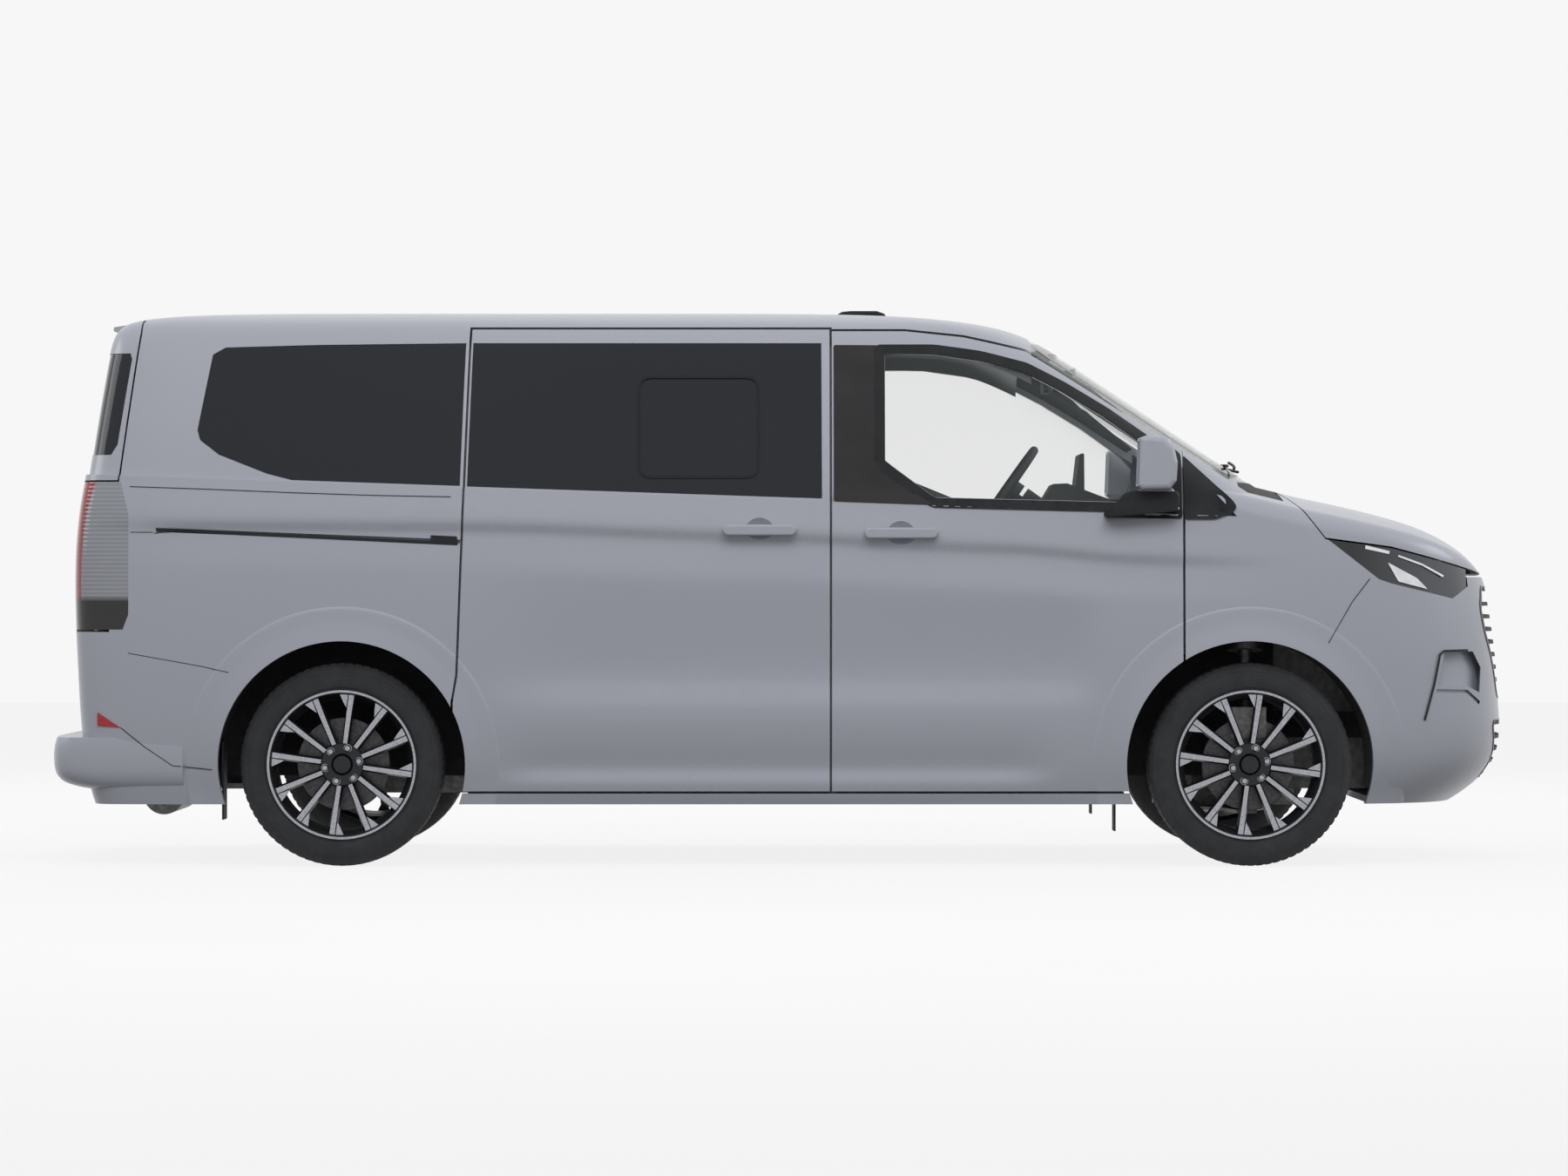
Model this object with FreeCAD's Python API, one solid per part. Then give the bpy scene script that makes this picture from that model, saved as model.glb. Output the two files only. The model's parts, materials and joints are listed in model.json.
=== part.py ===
"""A minibus with two front seats, two sliding side doors and a lifting tailgate.

Millimetres. +X points forward, +Y to the left, +Z up. The origin is on the ground,
below the middle of the overall length. The right side is at negative Y.
Every outer panel is cut from one master skin, so neighbours line up across their gaps.
"""
import FreeCAD, Part
from FreeCAD import Vector
import math
import os

os.makedirs("parts", exist_ok=True)

# Driving dimensions of the whole vehicle
WHEELBASE = 3100
FRONT_AXLE_X = 1591
REAR_AXLE_X = FRONT_AXLE_X - WHEELBASE
TYRE_RADIUS = 347
TYRE_WIDTH = 235
WHEEL_CENTRE_Y = 868
RIM_RADIUS = 256
SILL_BOTTOM_Z = 211
BODY_HALF_WIDTH = 1001
ROOF_Z = 1913
MIRROR_HALF_WIDTH = 1137

# Thicknesses and gaps
DOOR_THICK = 55
FRAME_OUTER = 61
SLIDER_SEAT_GAP = .6
SIDE_WALL = 100
ROOF_THICK = 45
WING_THICK = 30
BONNET_THICK = 28
GLASS_SEAT = 10
GLASS_FRONT = 2
GLASS_BACK = 9.7
DOOR_GAP = 4
FLANGE_DEPTH = 15
FLANGE_GAP = 17
GLASS_FLANGE = 28

# Wheel arches
ARCH_RADIUS = 422

# Shut lines in the side view
DOOR_FRONT_X = 1364
PILLAR_B_X = 160
SLIDER_REAR_X = -1092
DOOR_BOTTOM_Z = 252
DOOR_TOP_Z = 1836
SLIDER_TOP_Z = 1842
ROOF_SEAM_Y = 742
FLOOR_TOP_Z = 345
FLOOR_BOTTOM_Z = 300
ROCKER_INNER_Y = 800
FIREWALL_X = 1480
TAIL_LAMP_FRONT_X = -2234
TAIL_LAMP_BOTTOM_Z = 808
TAIL_LAMP_TOP_Z = 1312
TAIL_LAMP_INNER_Y = 800
TAILGATE_BOTTOM_Z = 500
TAILGATE_HINGE_X = -2205
BONNET_HINGE_X = 1716
BONNET_GAP = 6
TAILGATE_GAP = 6

FAR = 3000


def net_surface(rows):
    """A smooth surface on a net of control points, ending on the outer rows."""
    def knots(count):
        inner = count - 4
        return [float(i) for i in range(inner + 2)], [4] + [1] * inner + [4]
    u_knots, u_mults = knots(len(rows))
    v_knots, v_mults = knots(len(rows[0]))
    surface = Part.BSplineSurface()
    surface.buildFromPolesMultsKnots(rows, u_mults, v_mults, u_knots, v_knots, False, False, 3, 3)
    return surface


def net_face(rows):
    return net_surface(rows).toShape()


def net_edge(row):
    """The smooth edge that a row of control points gives."""
    curve = Part.BSplineCurve()
    count = len(row)
    curve.buildFromPolesMultsKnots(
        row, [4] + [1] * (count - 4) + [4], [float(i) for i in range(count - 2)], False, 3)
    return curve.toShape()


def flip_y(item):
    """The mirror image of a point or a shape in the plane Y = 0."""
    if isinstance(item, Vector):
        return Vector(item.x, -item.y, item.z)
    return item.mirror(Vector(0, 0, 0), Vector(0, 1, 0))


# Plan shape of the ends: setback from the end, and share of the half width
NOSE_LOW = ((0, 0), (0, .38), (70, .74), (300, .93), (700, 1.0))
NOSE_HIGH = ((0, 0), (10, .40), (75, .78), (170, .955), (330, 1.0))
TAIL = ((0, 0), (0, .5), (8, .86), (45, .985), (220, 1.0))
SIDE_POINTS = 3


def half_outline(height, front, rear, half_width, nose):
    """Control points of the left half of a level outline, from nose to tail."""
    points = [Vector(front - setback, half_width * share, height) for setback, share in nose]
    start, end = front - nose[-1][0], rear + TAIL[-1][0]
    for i in range(1, SIDE_POINTS + 1):
        points.append(Vector(start + (end - start) * i / (SIDE_POINTS + 1), half_width, height))
    points += [Vector(rear + setback, half_width * share, height) for setback, share in reversed(TAIL)]
    return points


# Character lines of the sides. Heights are those at the middle of the length, and a shape is given
# by pairs of a place and its value, which "between" joins with an eased line.
SCULPT_HEIGHTS = (
    235, 262, 285, 305, 325, 345, 370, 430, 490, 525, 560, 600, 635, 662, 700, 760, 830, 895, 930, 958, 1000,
    1050, 1080, 1098, 1114, 1130, 1146, 1164, 1200)
SCULPT_STATIONS = (
    -2150, -1900, -1650, -1400, -1250, -1130, -1000, -880, -760, -600, -350, 0, 350, 700, 860, 950, 1010,
    1060, 1110, 1170, 1300, 1450, 1600, 1750, 1900)
SHOULDER_FALL = ((-2300, 42), (-1127, 35), (0, 0), (700, -38), (1276, -78), (1620, -84), (2150, 0))
SHOULDER_HEIGHTS = ((720, 0), (1060, 1), (1180, 1), (1370, 0))
SHOULDER_OUT = ((985, 0), (1060, -7), (1095, -10), (1104, -9), (1140, 8), (1152, 9), (1200, 4), (1260, 0))
SHOULDER_LENGTH = ((-2340, 0), (-2130, 1), (1200, 1), (1780, 0))
SCOOP_OUT = (
    (512, 0), (530, -2), (655, -27), (690, -28), (760, -24), (850, -14), (915, -6), (958, 0))
SCOOP_LENGTH = ((-1150, 0), (-700, 1), (960, 1), (1120, 0))
SILL_OUT = ((211, 0), (235, 5), (280, 5), (335, -16), (350, -16), (420, -6), (490, 0))
SILL_LENGTH = ((-985, 0), (-850, 1), (800, 1), (935, 0))


def between(pairs, place):
    """The value at a place, eased between the pairs on either side of it."""
    if place <= pairs[0][0]:
        return pairs[0][1]
    for (low, first), (high, second) in zip(pairs, pairs[1:]):
        if place <= high:
            share = (place - low) / (high - low)
            return first + (second - first) * share * share * (3 - 2 * share)
    return pairs[-1][1]


def sculpted(pole):
    """A control point of the side, moved along the shoulder line and in or out for the character lines."""
    x, height = pole.x, pole.z
    out = between(SHOULDER_OUT, height) * between(SHOULDER_LENGTH, x)
    out += between(SCOOP_OUT, height) * between(SCOOP_LENGTH, x)
    out += between(SILL_OUT, height) * between(SILL_LENGTH, x)
    fall = between(SHOULDER_HEIGHTS, height) * between(SHOULDER_FALL, x)
    return Vector(x, pole.y + out, height + fall)


def parameter_at(value, along, low, high):
    """The parameter at which a steadily changing value is reached."""
    rising = along(high) > along(low)
    for _ in range(30):
        middle = (low + high) / 2
        if (along(middle) < value) == rising:
            low = middle
        else:
            high = middle
    return (low + high) / 2


def side_surface(rows):
    """The left side on its net of control points, refined where the character lines run and moved there."""
    surface = net_surface(rows)
    u_low, u_high, v_low, v_high = surface.bounds()
    u_mid, v_mid = (u_low + u_high) / 2, (v_low + v_high) / 2
    u_knots = [parameter_at(z, lambda u: surface.value(u, v_mid).z, u_low, u_high) for z in SCULPT_HEIGHTS]
    v_knots = [parameter_at(x, lambda v: surface.value(u_mid, v).x, v_low, v_high) for x in SCULPT_STATIONS]
    for u in u_knots:
        surface.insertUKnot(u, 1, 1e-7)
    for v in v_knots:
        surface.insertVKnot(v, 1, 1e-7)
    for i in range(2, surface.NbUPoles):
        for j in range(1, surface.NbVPoles + 1):
            surface.setPole(i, j, sculpted(surface.getPole(i, j)))
    return surface


def flipped_surface(surface):
    copy = surface.copy()
    for i in range(1, copy.NbUPoles + 1):
        for j in range(1, copy.NbVPoles + 1):
            copy.setPole(i, j, flip_y(copy.getPole(i, j)))
    return copy


def skinned(levels, nose, inset=0, drop=0, side=net_surface):
    """A closed solid over level outlines, its sides moved in by inset and its top down by drop."""
    rows = []
    for k, (z, front, rear, half) in enumerate(levels):
        height = z - drop if k > len(levels) // 2 else z
        rows.append(half_outline(height, front - inset, rear + inset, half - inset, nose))
    mirrored = [[flip_y(p) for p in row] for row in rows]
    left = side(rows)
    faces = [left.toShape(), flipped_surface(left).toShape()]
    for end in (0, -1):
        faces.append(Part.Face(Part.Wire([net_edge(rows[end]), net_edge(mirrored[end])])))
    shell = Part.makeShell(faces)
    shell.sewShape()
    solid = Part.makeSolid(shell)
    if solid.Volume < 0:
        solid.reverse()
    return solid


# Height, front X, rear X and half width of the body below the waist and of the glazed part above
LOW_LEVELS = (
    (SILL_BOTTOM_Z, 2350, -2385, 940), (300, 2495, -2412, 968), (430, 2532, -2425, 986),
    (560, 2516, -2434, 993), (700, 2512, -2440, 999), (850, 2490, -2448, BODY_HALF_WIDTH),
    (1000, 2464, -2450, BODY_HALF_WIDTH), (1150, 2425, -2440, 997), (1370, 2360, -2408, 974))
HIGH_LEVELS = (
    (1040, 2060, -2434, 974), (1200, 1825, -2426, 980), (1300, 1676, -2408, 966),
    (1500, 1378, -2382, 925), (1700, 1080, -2352, 872), (1800, 928, -2336, 838),
    (1852, 822, -2314, 798), (1887, 640, -2240, 710), (1906, 380, -1950, 540), (ROOF_Z, -50, -1400, 280))

# Bonnet line on the centre, and how far the bonnet falls away to each side
BONNET_LINE = (
    (1200, 1420), (1500, 1345), (1668, 1310), (1800, 1274), (1940, 1247), (2110, 1206),
    (2235, 1168), (2350, 1110), (2430, 1042), (2480, 960), (2540, 820))
BONNET_CROWN = (
    (-1.35, 62), (-1.0, 62), (-.8, 30), (-.4, 4), (0, 0), (.4, 4), (.8, 30), (1.0, 62), (1.35, 62))
BONNET_SWEEP = 70
BONNET_EDGE_RADIUS = 70
WAIST_REAR = (-1661, 1312)
WAIST_FRONT = (1083, 1211)
WAIST_TIP_X = 1545
WAIST_TOP = (1300, 1462)


def waist_z(x):
    slope = (WAIST_FRONT[1] - WAIST_REAR[1]) / (WAIST_FRONT[0] - WAIST_REAR[0])
    return WAIST_REAR[1] + (x - WAIST_REAR[0]) * slope


def polygon(points):
    return Part.makePolygon([*points, points[0]])


def side_prism(outline, y_low=-FAR, y_high=FAR):
    """A prism across the vehicle from an outline of X and Z points, or from a wire at Y = 0."""
    if not isinstance(outline, Part.Wire):
        outline = polygon([Vector(x, 0, z) for x, z in outline])
    face = Part.Face(outline)
    face.translate(Vector(0, y_low, 0))
    return face.extrude(Vector(0, y_high - y_low, 0))


def front_prism(outline, x_low, x_high):
    """A prism along the vehicle from an outline of Y and Z points."""
    face = Part.Face(polygon([Vector(x_low, y, z) for y, z in outline]))
    return face.extrude(Vector(x_high - x_low, 0, 0))


def box(x0, x1, y0, y1, z0, z1):
    return Part.makeBox(x1 - x0, y1 - y0, z1 - z0, Vector(x0, y0, z0))


def cylinder_y(radius, x, z, y_low, y_high):
    return Part.makeCylinder(radius, y_high - y_low, Vector(x, y_low, z), Vector(0, 1, 0))


def fused(first, *others):
    return first.multiFuse(list(others)).removeSplitter()


def above_bonnet(drop):
    rows = [[Vector(x - BONNET_SWEEP * share * share, 1000 * share, z - fall - drop)
             for share, fall in BONNET_CROWN] for x, z in BONNET_LINE]
    return net_face(rows).extrude(Vector(0, 0, 900))


ABOVE_WAIST = side_prism([
    (-FAR, waist_z(-FAR)), (WAIST_TIP_X, waist_z(WAIST_TIP_X)), WAIST_TOP, (WAIST_TOP[0], FAR), (-FAR, FAR)])
MASTERS = {}


def upper(inset, drop=None):
    return skinned(HIGH_LEVELS, NOSE_HIGH, inset, inset if drop is None else drop)


def master(inset, drop=None, bonnet_drop=None):
    """The whole body as one solid, its sides moved in by inset and its roof down by drop."""
    key = (inset, drop, bonnet_drop)
    if key not in MASTERS:
        low = skinned(LOW_LEVELS, NOSE_LOW, inset, side=side_surface).cut(
            above_bonnet(inset if bonnet_drop is None else bonnet_drop))
        rim = [e for e in low.Edges
               if e.BoundBox.ZMin > 900 and e.BoundBox.XMax > 2300 and e.BoundBox.YLength > 500]
        low = low.makeFillet(BONNET_EDGE_RADIUS - inset / 2, rim).cut(ABOVE_WAIST)
        MASTERS[key] = low.fuse(upper(inset, drop))
    return MASTERS[key]


SIDE_SURFACE = side_surface([half_outline(*level, NOSE_LOW) for level in LOW_LEVELS])

# The raised lip of a wheel arch: radius from the wheel's centre and height above the side
FLARE_LIFT = (
    (400, 16), (418, 15), (436, 13), (456, 9.5), (478, 5.5), (500, 4), (520, 3.4), (534, 3), (541, 2),
    (548, -4), (556, -12))
FLARE_ANGLES = (-26, 206)
FLARE_STEPS = 22
FLARE_ROOT = 60


def on_side(x, z):
    """The point of the left side below the waist at X and Z."""
    point = Vector(x, BODY_HALF_WIDTH, z)
    for _ in range(4):
        point = Vector(x, SIDE_SURFACE.value(*SIDE_SURFACE.parameter(point)).y, z)
    return point


def flare(x):
    """The raised lips round both wheel arches of an axle, following the curve of the sides."""
    start, end = FLARE_ANGLES
    rows = [[] for _ in FLARE_LIFT]
    for k in range(FLARE_STEPS + 1):
        angle = math.radians(start + (end - start) * k / FLARE_STEPS)
        for row, (radius, lift) in zip(rows, FLARE_LIFT):
            place = on_side(x + radius * math.cos(angle), TYRE_RADIUS + radius * math.sin(angle))
            row.append(place + Vector(0, lift, 0))
    lip = net_face(rows).extrude(Vector(0, -FLARE_ROOT, 0))
    lip = lip.common(box(-FAR, FAR, 0, FAR, SILL_BOTTOM_Z + .5, FAR))
    return [lip, flip_y(lip)]


def hollow(outer, inner):
    """A wall between two nested solids, closed at the bottom by the outer one alone."""
    core = inner.common(box(-FAR, FAR, -FAR, FAR, SILL_BOTTOM_Z + 20, FAR)).Solids[0]
    return Part.makeSolid(Part.makeCompound([outer.Shells[0], core.Shells[0].reversed()]))


FLARED = master(0).multiFuse(flare(FRONT_AXLE_X) + flare(REAR_AXLE_X)).Solids[0]


def offset_prism(outline, growth, y_low=-FAR, y_high=FAR):
    """A prism across the vehicle whose outline is grown by growth on every side."""
    wire = polygon([Vector(x, 0, z) for x, z in outline])
    return side_prism(wire.makeOffset2D(growth, 2), y_low, y_high)


def pocket(outline, growth, depth, y_low, y_high):
    """The space within an outline from outside down to a given depth below the skin."""
    return offset_prism(outline, growth, y_low, y_high).cut(master(depth))


DOOR_OUTLINE = (
    (PILLAR_B_X, DOOR_BOTTOM_Z), (DOOR_FRONT_X, DOOR_BOTTOM_Z), (DOOR_FRONT_X, 1440), (1331, 1486),
    (1261, 1540), (1114, 1642), (966, 1721), (816, 1772), (618, 1815), (417, DOOR_TOP_Z),
    (PILLAR_B_X, DOOR_TOP_Z))
DOOR_OPENING = (
    (PILLAR_B_X + 60, 380), (1100, 380), (1140, 620), (1300, 820), (1310, 1425), (1240, 1492),
    (1094, 1590), (950, 1665), (800, 1712), (600, 1755), (400, 1778), (PILLAR_B_X + 60, 1778))
DOOR_WINDOW = (
    (318, 1372), (346, 1350), (504, 1232), (1300, 1212), (1310, 1400), (1262, 1452), (1109, 1560),
    (960, 1650), (832, 1716), (674, 1756), (516, 1778), (318, 1782))
SLIDER_OUTLINE = (
    (PILLAR_B_X, DOOR_BOTTOM_Z), (PILLAR_B_X, SLIDER_TOP_Z), (SLIDER_REAR_X + 18, SLIDER_TOP_Z),
    (SLIDER_REAR_X, 1288), (SLIDER_REAR_X - 24, 653), (SLIDER_REAR_X - 40, 560),
    (SLIDER_REAR_X - 40, DOOR_BOTTOM_Z))
SLIDER_OPENING = (
    (PILLAR_B_X - 60, 380), (PILLAR_B_X - 60, 1778), (SLIDER_REAR_X + 70, 1778), (SLIDER_REAR_X + 70, 800),
    (SLIDER_REAR_X + 80, 380))
SLIDER_WINDOW = (
    (130, 1255), (128, 1790), (SLIDER_REAR_X + 26, 1790), (SLIDER_REAR_X + 10, 1296))
QUARTER_WINDOW = (
    (SLIDER_REAR_X - 14, 1298), (SLIDER_REAR_X + 2, 1790), (-1600, 1784), (-1915, 1775), (-1958, 1750),
    (-2005, 1490), (-1995, 1455), (-1930, 1405), (-1765, 1340), (-1680, 1318))


def glass_in(outline, side_low, side_high):
    """A curved pane lying in the rebate that window_cut makes for it."""
    wall = hollow(master(GLASS_FRONT), master(GLASS_BACK))
    return wall.common(offset_prism(outline, -1, side_low, side_high))


def window_cut(panel, outline, side_low, side_high):
    """Open a window in a panel, with a rebate for the pane."""
    panel = panel.cut(pocket(outline, 0, GLASS_SEAT, side_low, side_high))
    return panel.cut(offset_prism(outline, -GLASS_FLANGE, side_low, side_high))


SIDE = (600, 1200)
DOOR_SPAN = (ROOF_SEAM_Y + DOOR_GAP + 2, 1200)
WALLS = {}


def wall(depth, drop=None):
    """The outer wall of the body down to a given depth."""
    if (depth, drop) not in WALLS:
        WALLS[(depth, drop)] = hollow(FLARED, master(depth, drop))
    return WALLS[(depth, drop)]


# Wheelhouse liners, and the room that moving and fixed panels leave them
LINER_INNER = 426
LINER_OUTER = 432
LINER_GAP = 6


def arch_cut(panel, axle_x):
    """Cut the wheel opening in a panel, wider behind its lip where the liner lies."""
    room = cylinder_y(LINER_OUTER + LINER_GAP, axle_x, TYRE_RADIUS, 0, FAR).common(master(WING_THICK))
    return panel.cut(cylinder_y(ARCH_RADIUS, axle_x, TYRE_RADIUS, -FAR, FAR)).cut(room)


# Side structure and doors, drawn on the left
PILLAR_GAP = 30
SAIL_THICK = 28
SAIL_X = 1285
WINDSCREEN_FOOT_Z = 1314
WINDSCREEN_TOP_X = 852
COWL_BACK_X = 1560
WINDSCREEN_FOOT_Y = 812
WINDSCREEN_HEAD_Y = 694
HEAD_Z = 1840
WING_SEAM = ((1545, 1283), (1640, 1300))


def windscreen_prism(growth=0):
    foot_y, head_y = WINDSCREEN_FOOT_Y + growth, WINDSCREEN_HEAD_Y + growth
    foot_z, top_z = WINDSCREEN_FOOT_Z - growth, HEAD_Z + 200
    outline = [(-foot_y, foot_z), (foot_y, foot_z), (head_y, top_z), (-head_y, top_z)]
    return front_prism(outline, WINDSCREEN_TOP_X - growth, 2200)


TAILGATE_SIDE = ((TAILGATE_HINGE_X, FAR), (TAILGATE_HINGE_X, 1824), (-2268, TAIL_LAMP_TOP_Z))
LAMP_OUTLINE = (
    (-FAR, TAIL_LAMP_BOTTOM_Z), (TAIL_LAMP_FRONT_X - 20, TAIL_LAMP_BOTTOM_Z), (TAIL_LAMP_FRONT_X, 860),
    (TAIL_LAMP_FRONT_X, 1200), (-2262, TAIL_LAMP_TOP_Z), (-FAR, TAIL_LAMP_TOP_Z))
REAR_BUMPER_LINE = (
    (-FAR, 800), (-2240, 800), (-2222, 727), (-1958, 683), (-1800, 640), (-1800, 0), (-FAR, 0))
TAILGATE_OUTLINE = (
    (-FAR, TAILGATE_BOTTOM_Z), (-2300, TAILGATE_BOTTOM_Z), (-2300, TAIL_LAMP_TOP_Z), TAILGATE_SIDE[2],
    TAILGATE_SIDE[1], (TAILGATE_HINGE_X, 2100), (-FAR, 2100))


# The slot that the sliding door's middle roller runs in
RAIL_SLOT = (
    (-2150, 1134), (-2120, 1150), (-2090, 1153), (SLIDER_REAR_X + 8, 1114), (SLIDER_REAR_X + 8, 1100),
    (-2090, 1139), (-2120, 1137))
RAIL_DEPTH = 24


def body_side():
    panel = wall(SIDE_WALL, ROOF_THICK).common(box(-FAR, 1640, 600, FAR, 0, FAR))
    panel = panel.cut(pocket(RAIL_SLOT, 0, RAIL_DEPTH, *SIDE))
    panel = panel.cut(box(-FAR, WINDSCREEN_TOP_X, 0, ROOF_SEAM_Y, 1500, FAR)).cut(windscreen_prism())
    front_x = DOOR_FRONT_X + DOOR_GAP
    panel = panel.cut(side_prism([(front_x, 0), (front_x, 1205), *WING_SEAM, (FAR, WING_SEAM[1][1]), (FAR, 0)]))
    for outline, opening in ((DOOR_OUTLINE, DOOR_OPENING), (SLIDER_OUTLINE, SLIDER_OPENING)):
        panel = panel.cut(pocket(outline, DOOR_GAP, FRAME_OUTER, *SIDE))
        panel = panel.cut(offset_prism(opening, 0, *SIDE))
    panel = window_cut(panel, QUARTER_WINDOW, *SIDE)
    panel = panel.cut(side_prism([(-FAR, 0), (-2300, 0), (-2300, TAIL_LAMP_TOP_Z), TAILGATE_SIDE[2],
                                  TAILGATE_SIDE[1], (TAILGATE_HINGE_X, FAR), (-FAR, FAR)]))
    panel = panel.cut(side_prism(LAMP_OUTLINE)).cut(side_prism(REAR_BUMPER_LINE))
    panel = panel.cut(box(COWL_BACK_X, FAR, 0, WINDSCREEN_FOOT_Y + .3, 1200, FAR))
    return arch_cut(arch_cut(panel, FRONT_AXLE_X), REAR_AXLE_X)


def front_door():
    panel = arch_cut(wall(DOOR_THICK).common(offset_prism(DOOR_OUTLINE, -DOOR_GAP, *DOOR_SPAN)), FRONT_AXLE_X)
    panel = panel.cut(windscreen_prism(PILLAR_GAP))
    panel = panel.cut(master(SAIL_THICK).common(box(SAIL_X, FAR, *DOOR_SPAN, 1195, FAR)))
    edge = box(0, PILLAR_B_X + DOOR_GAP + FLANGE_GAP, *SIDE, 0, FAR)
    panel = panel.cut(master(FLANGE_DEPTH).common(edge))
    return window_cut(panel, DOOR_WINDOW, *SIDE)


def sliding_door():
    panel = wall(FRAME_OUTER - SLIDER_SEAT_GAP).common(offset_prism(SLIDER_OUTLINE, -DOOR_GAP, *DOOR_SPAN))
    panel = arch_cut(panel, REAR_AXLE_X)
    return window_cut(panel, SLIDER_WINDOW, *SIDE)


# Wing, bumper, lamp and bonnet lines at the front
BONNET_SIDE = (
    (BONNET_HINGE_X, 1292), (1733, 1270), (1848, 1122), (2077, 1092), (2225, 1054), (2455, 992), (FAR, 992))
LAMP_LOWER = ((2032, 980), (2077, 965), (2296, 914), (2359, 956), (2352, 1020))
BUMPER_SEAM = ((2032, 980), (1840, 757), (1700, 600), (1700, 0))
LAMP_DEPTH = 90
LAMP_INNER_Y = 640
GRILLE_HALF_WIDTH = 640
GRILLE_OUTLINE = (
    (-GRILLE_HALF_WIDTH + 70, 955), (-GRILLE_HALF_WIDTH, 880), (-GRILLE_HALF_WIDTH + 14, 790),
    (-GRILLE_HALF_WIDTH + 150, 590), (-GRILLE_HALF_WIDTH + 200, 570))
INTAKE_OUTLINE = (
    (-GRILLE_HALF_WIDTH + 50, 492), (-GRILLE_HALF_WIDTH + 30, 470), (-GRILLE_HALF_WIDTH + 130, 302),
    (-GRILLE_HALF_WIDTH + 160, 290))
CORNER_INTAKE = ((2264, 730), (2372, 732), (2404, 676), (2398, 590), (2352, 612), (2240, 616))
CORNER_CREASE = ((2236, 604), (2350, 600), (2400, 560), (2396, 548), (2348, 588), (2234, 592))
CORNER_DEPTH = 22


def bonnet_region(growth):
    points = [(BONNET_HINGE_X - growth, FAR)] + [(x, z - growth) for x, z in BONNET_SIDE]
    points[1] = (BONNET_HINGE_X - growth, BONNET_SIDE[0][1] - growth)
    return side_prism(points + [(FAR, FAR)])


def lamp_region():
    return side_prism([(1848, 1122), (2032, 980), *LAMP_LOWER[1:], (2352, 1200), (1848, 1200)])


def wing():
    panel = wall(WING_THICK).common(box(DOOR_FRONT_X + DOOR_GAP, 2352, 500, FAR, 0, FAR))
    rear_x = BONNET_HINGE_X - BONNET_GAP
    panel = panel.cut(side_prism([
        (0, 1205), (DOOR_FRONT_X + DOOR_GAP, 1205), *WING_SEAM, (rear_x, WING_SEAM[1][1]), (rear_x, FAR), (0, FAR)]))
    panel = panel.cut(bonnet_region(BONNET_GAP)).cut(lamp_region())
    panel = arch_cut(panel.cut(side_prism([*BUMPER_SEAM, (FAR, 0), (FAR, 980)])), FRONT_AXLE_X)
    panel = panel.cut(box(0, BONNET_HINGE_X, 0, WINDSCREEN_FOOT_Y, 1200, FAR))
    return max(panel.Solids, key=lambda s: s.Volume)


def headlamp():
    lamp = wall(LAMP_DEPTH).common(lamp_region()).cut(bonnet_region(BONNET_GAP))
    return max(lamp.common(box(1800, 2352, LAMP_INNER_Y, FAR, 800, FAR)).Solids, key=lambda s: s.Volume)


def bonnet():
    panel = wall(BONNET_THICK).common(bonnet_region(0))
    return max(panel.Solids, key=lambda s: s.Volume)


def front_bumper():
    outline = [*BUMPER_SEAM, (FAR, 0), (FAR, 988), (2352, 988), *LAMP_LOWER[3::-1]]
    panel = wall(WING_THICK).common(side_prism(outline))
    panel = panel.cut(bonnet_region(BONNET_GAP)).cut(lamp_region())
    panel = arch_cut(flip_y(arch_cut(panel, FRONT_AXLE_X)), FRONT_AXLE_X)
    for outline in (GRILLE_OUTLINE, INTAKE_OUTLINE):
        panel = panel.cut(nose_prism(outline))
    corner = side_prism(CORNER_INTAKE, LAMP_INNER_Y, FAR).cut(master(CORNER_DEPTH))
    crease = side_prism(CORNER_CREASE, LAMP_INNER_Y, FAR).cut(master(CORNER_DEPTH / 3))
    for cut in (corner, crease):
        panel = panel.cut(cut).cut(flip_y(cut))
    return max(panel.Solids, key=lambda s: s.Volume)


NOSE_X = (2200, FAR)
GRILLE_FRAME = 16
BAR_HEIGHT = 13
GRILLE_BARS = 7
INTAKE_BARS = 3


def nose_prism(half, inward=0):
    """A prism through the nose from one half of an outline of Y and Z points."""
    outline = list(half) + [(-y, z) for y, z in reversed(half)]
    wire = polygon([Vector(NOSE_X[0], y, z) for y, z in outline])
    if inward:
        wire = wire.makeOffset2D(-inward, 2)
    return Part.Face(wire).extrude(Vector(NOSE_X[1] - NOSE_X[0], 0, 0))


def grille():
    """The two openings' frames with their level bars and a post on the centre line."""
    parts = []
    for outline, count in ((GRILLE_OUTLINE, GRILLE_BARS), (INTAKE_OUTLINE, INTAKE_BARS)):
        panel = wall(WING_THICK).common(nose_prism(outline))
        top, bottom = outline[0][1] - GRILLE_FRAME, outline[-1][1] + GRILLE_FRAME
        pitch = (top - bottom) / (count + 1)
        bars = [box(*NOSE_X, -10, 10, bottom - 5, top + 5)]
        for i in range(1, count + 1):
            low = bottom + i * pitch - BAR_HEIGHT / 2
            bars.append(box(*NOSE_X, -GRILLE_HALF_WIDTH, GRILLE_HALF_WIDTH, low, low + BAR_HEIGHT))
        panel = panel.cut(nose_prism(outline, GRILLE_FRAME).cut(Part.makeCompound(bars)))
        parts += panel.Solids
    return Part.makeCompound(parts)


def windscreen():
    pane = hollow(master(GLASS_FRONT), master(GLASS_BACK - 2)).common(windscreen_prism(-1))
    return max(pane.Solids, key=lambda s: s.Volume)


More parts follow.
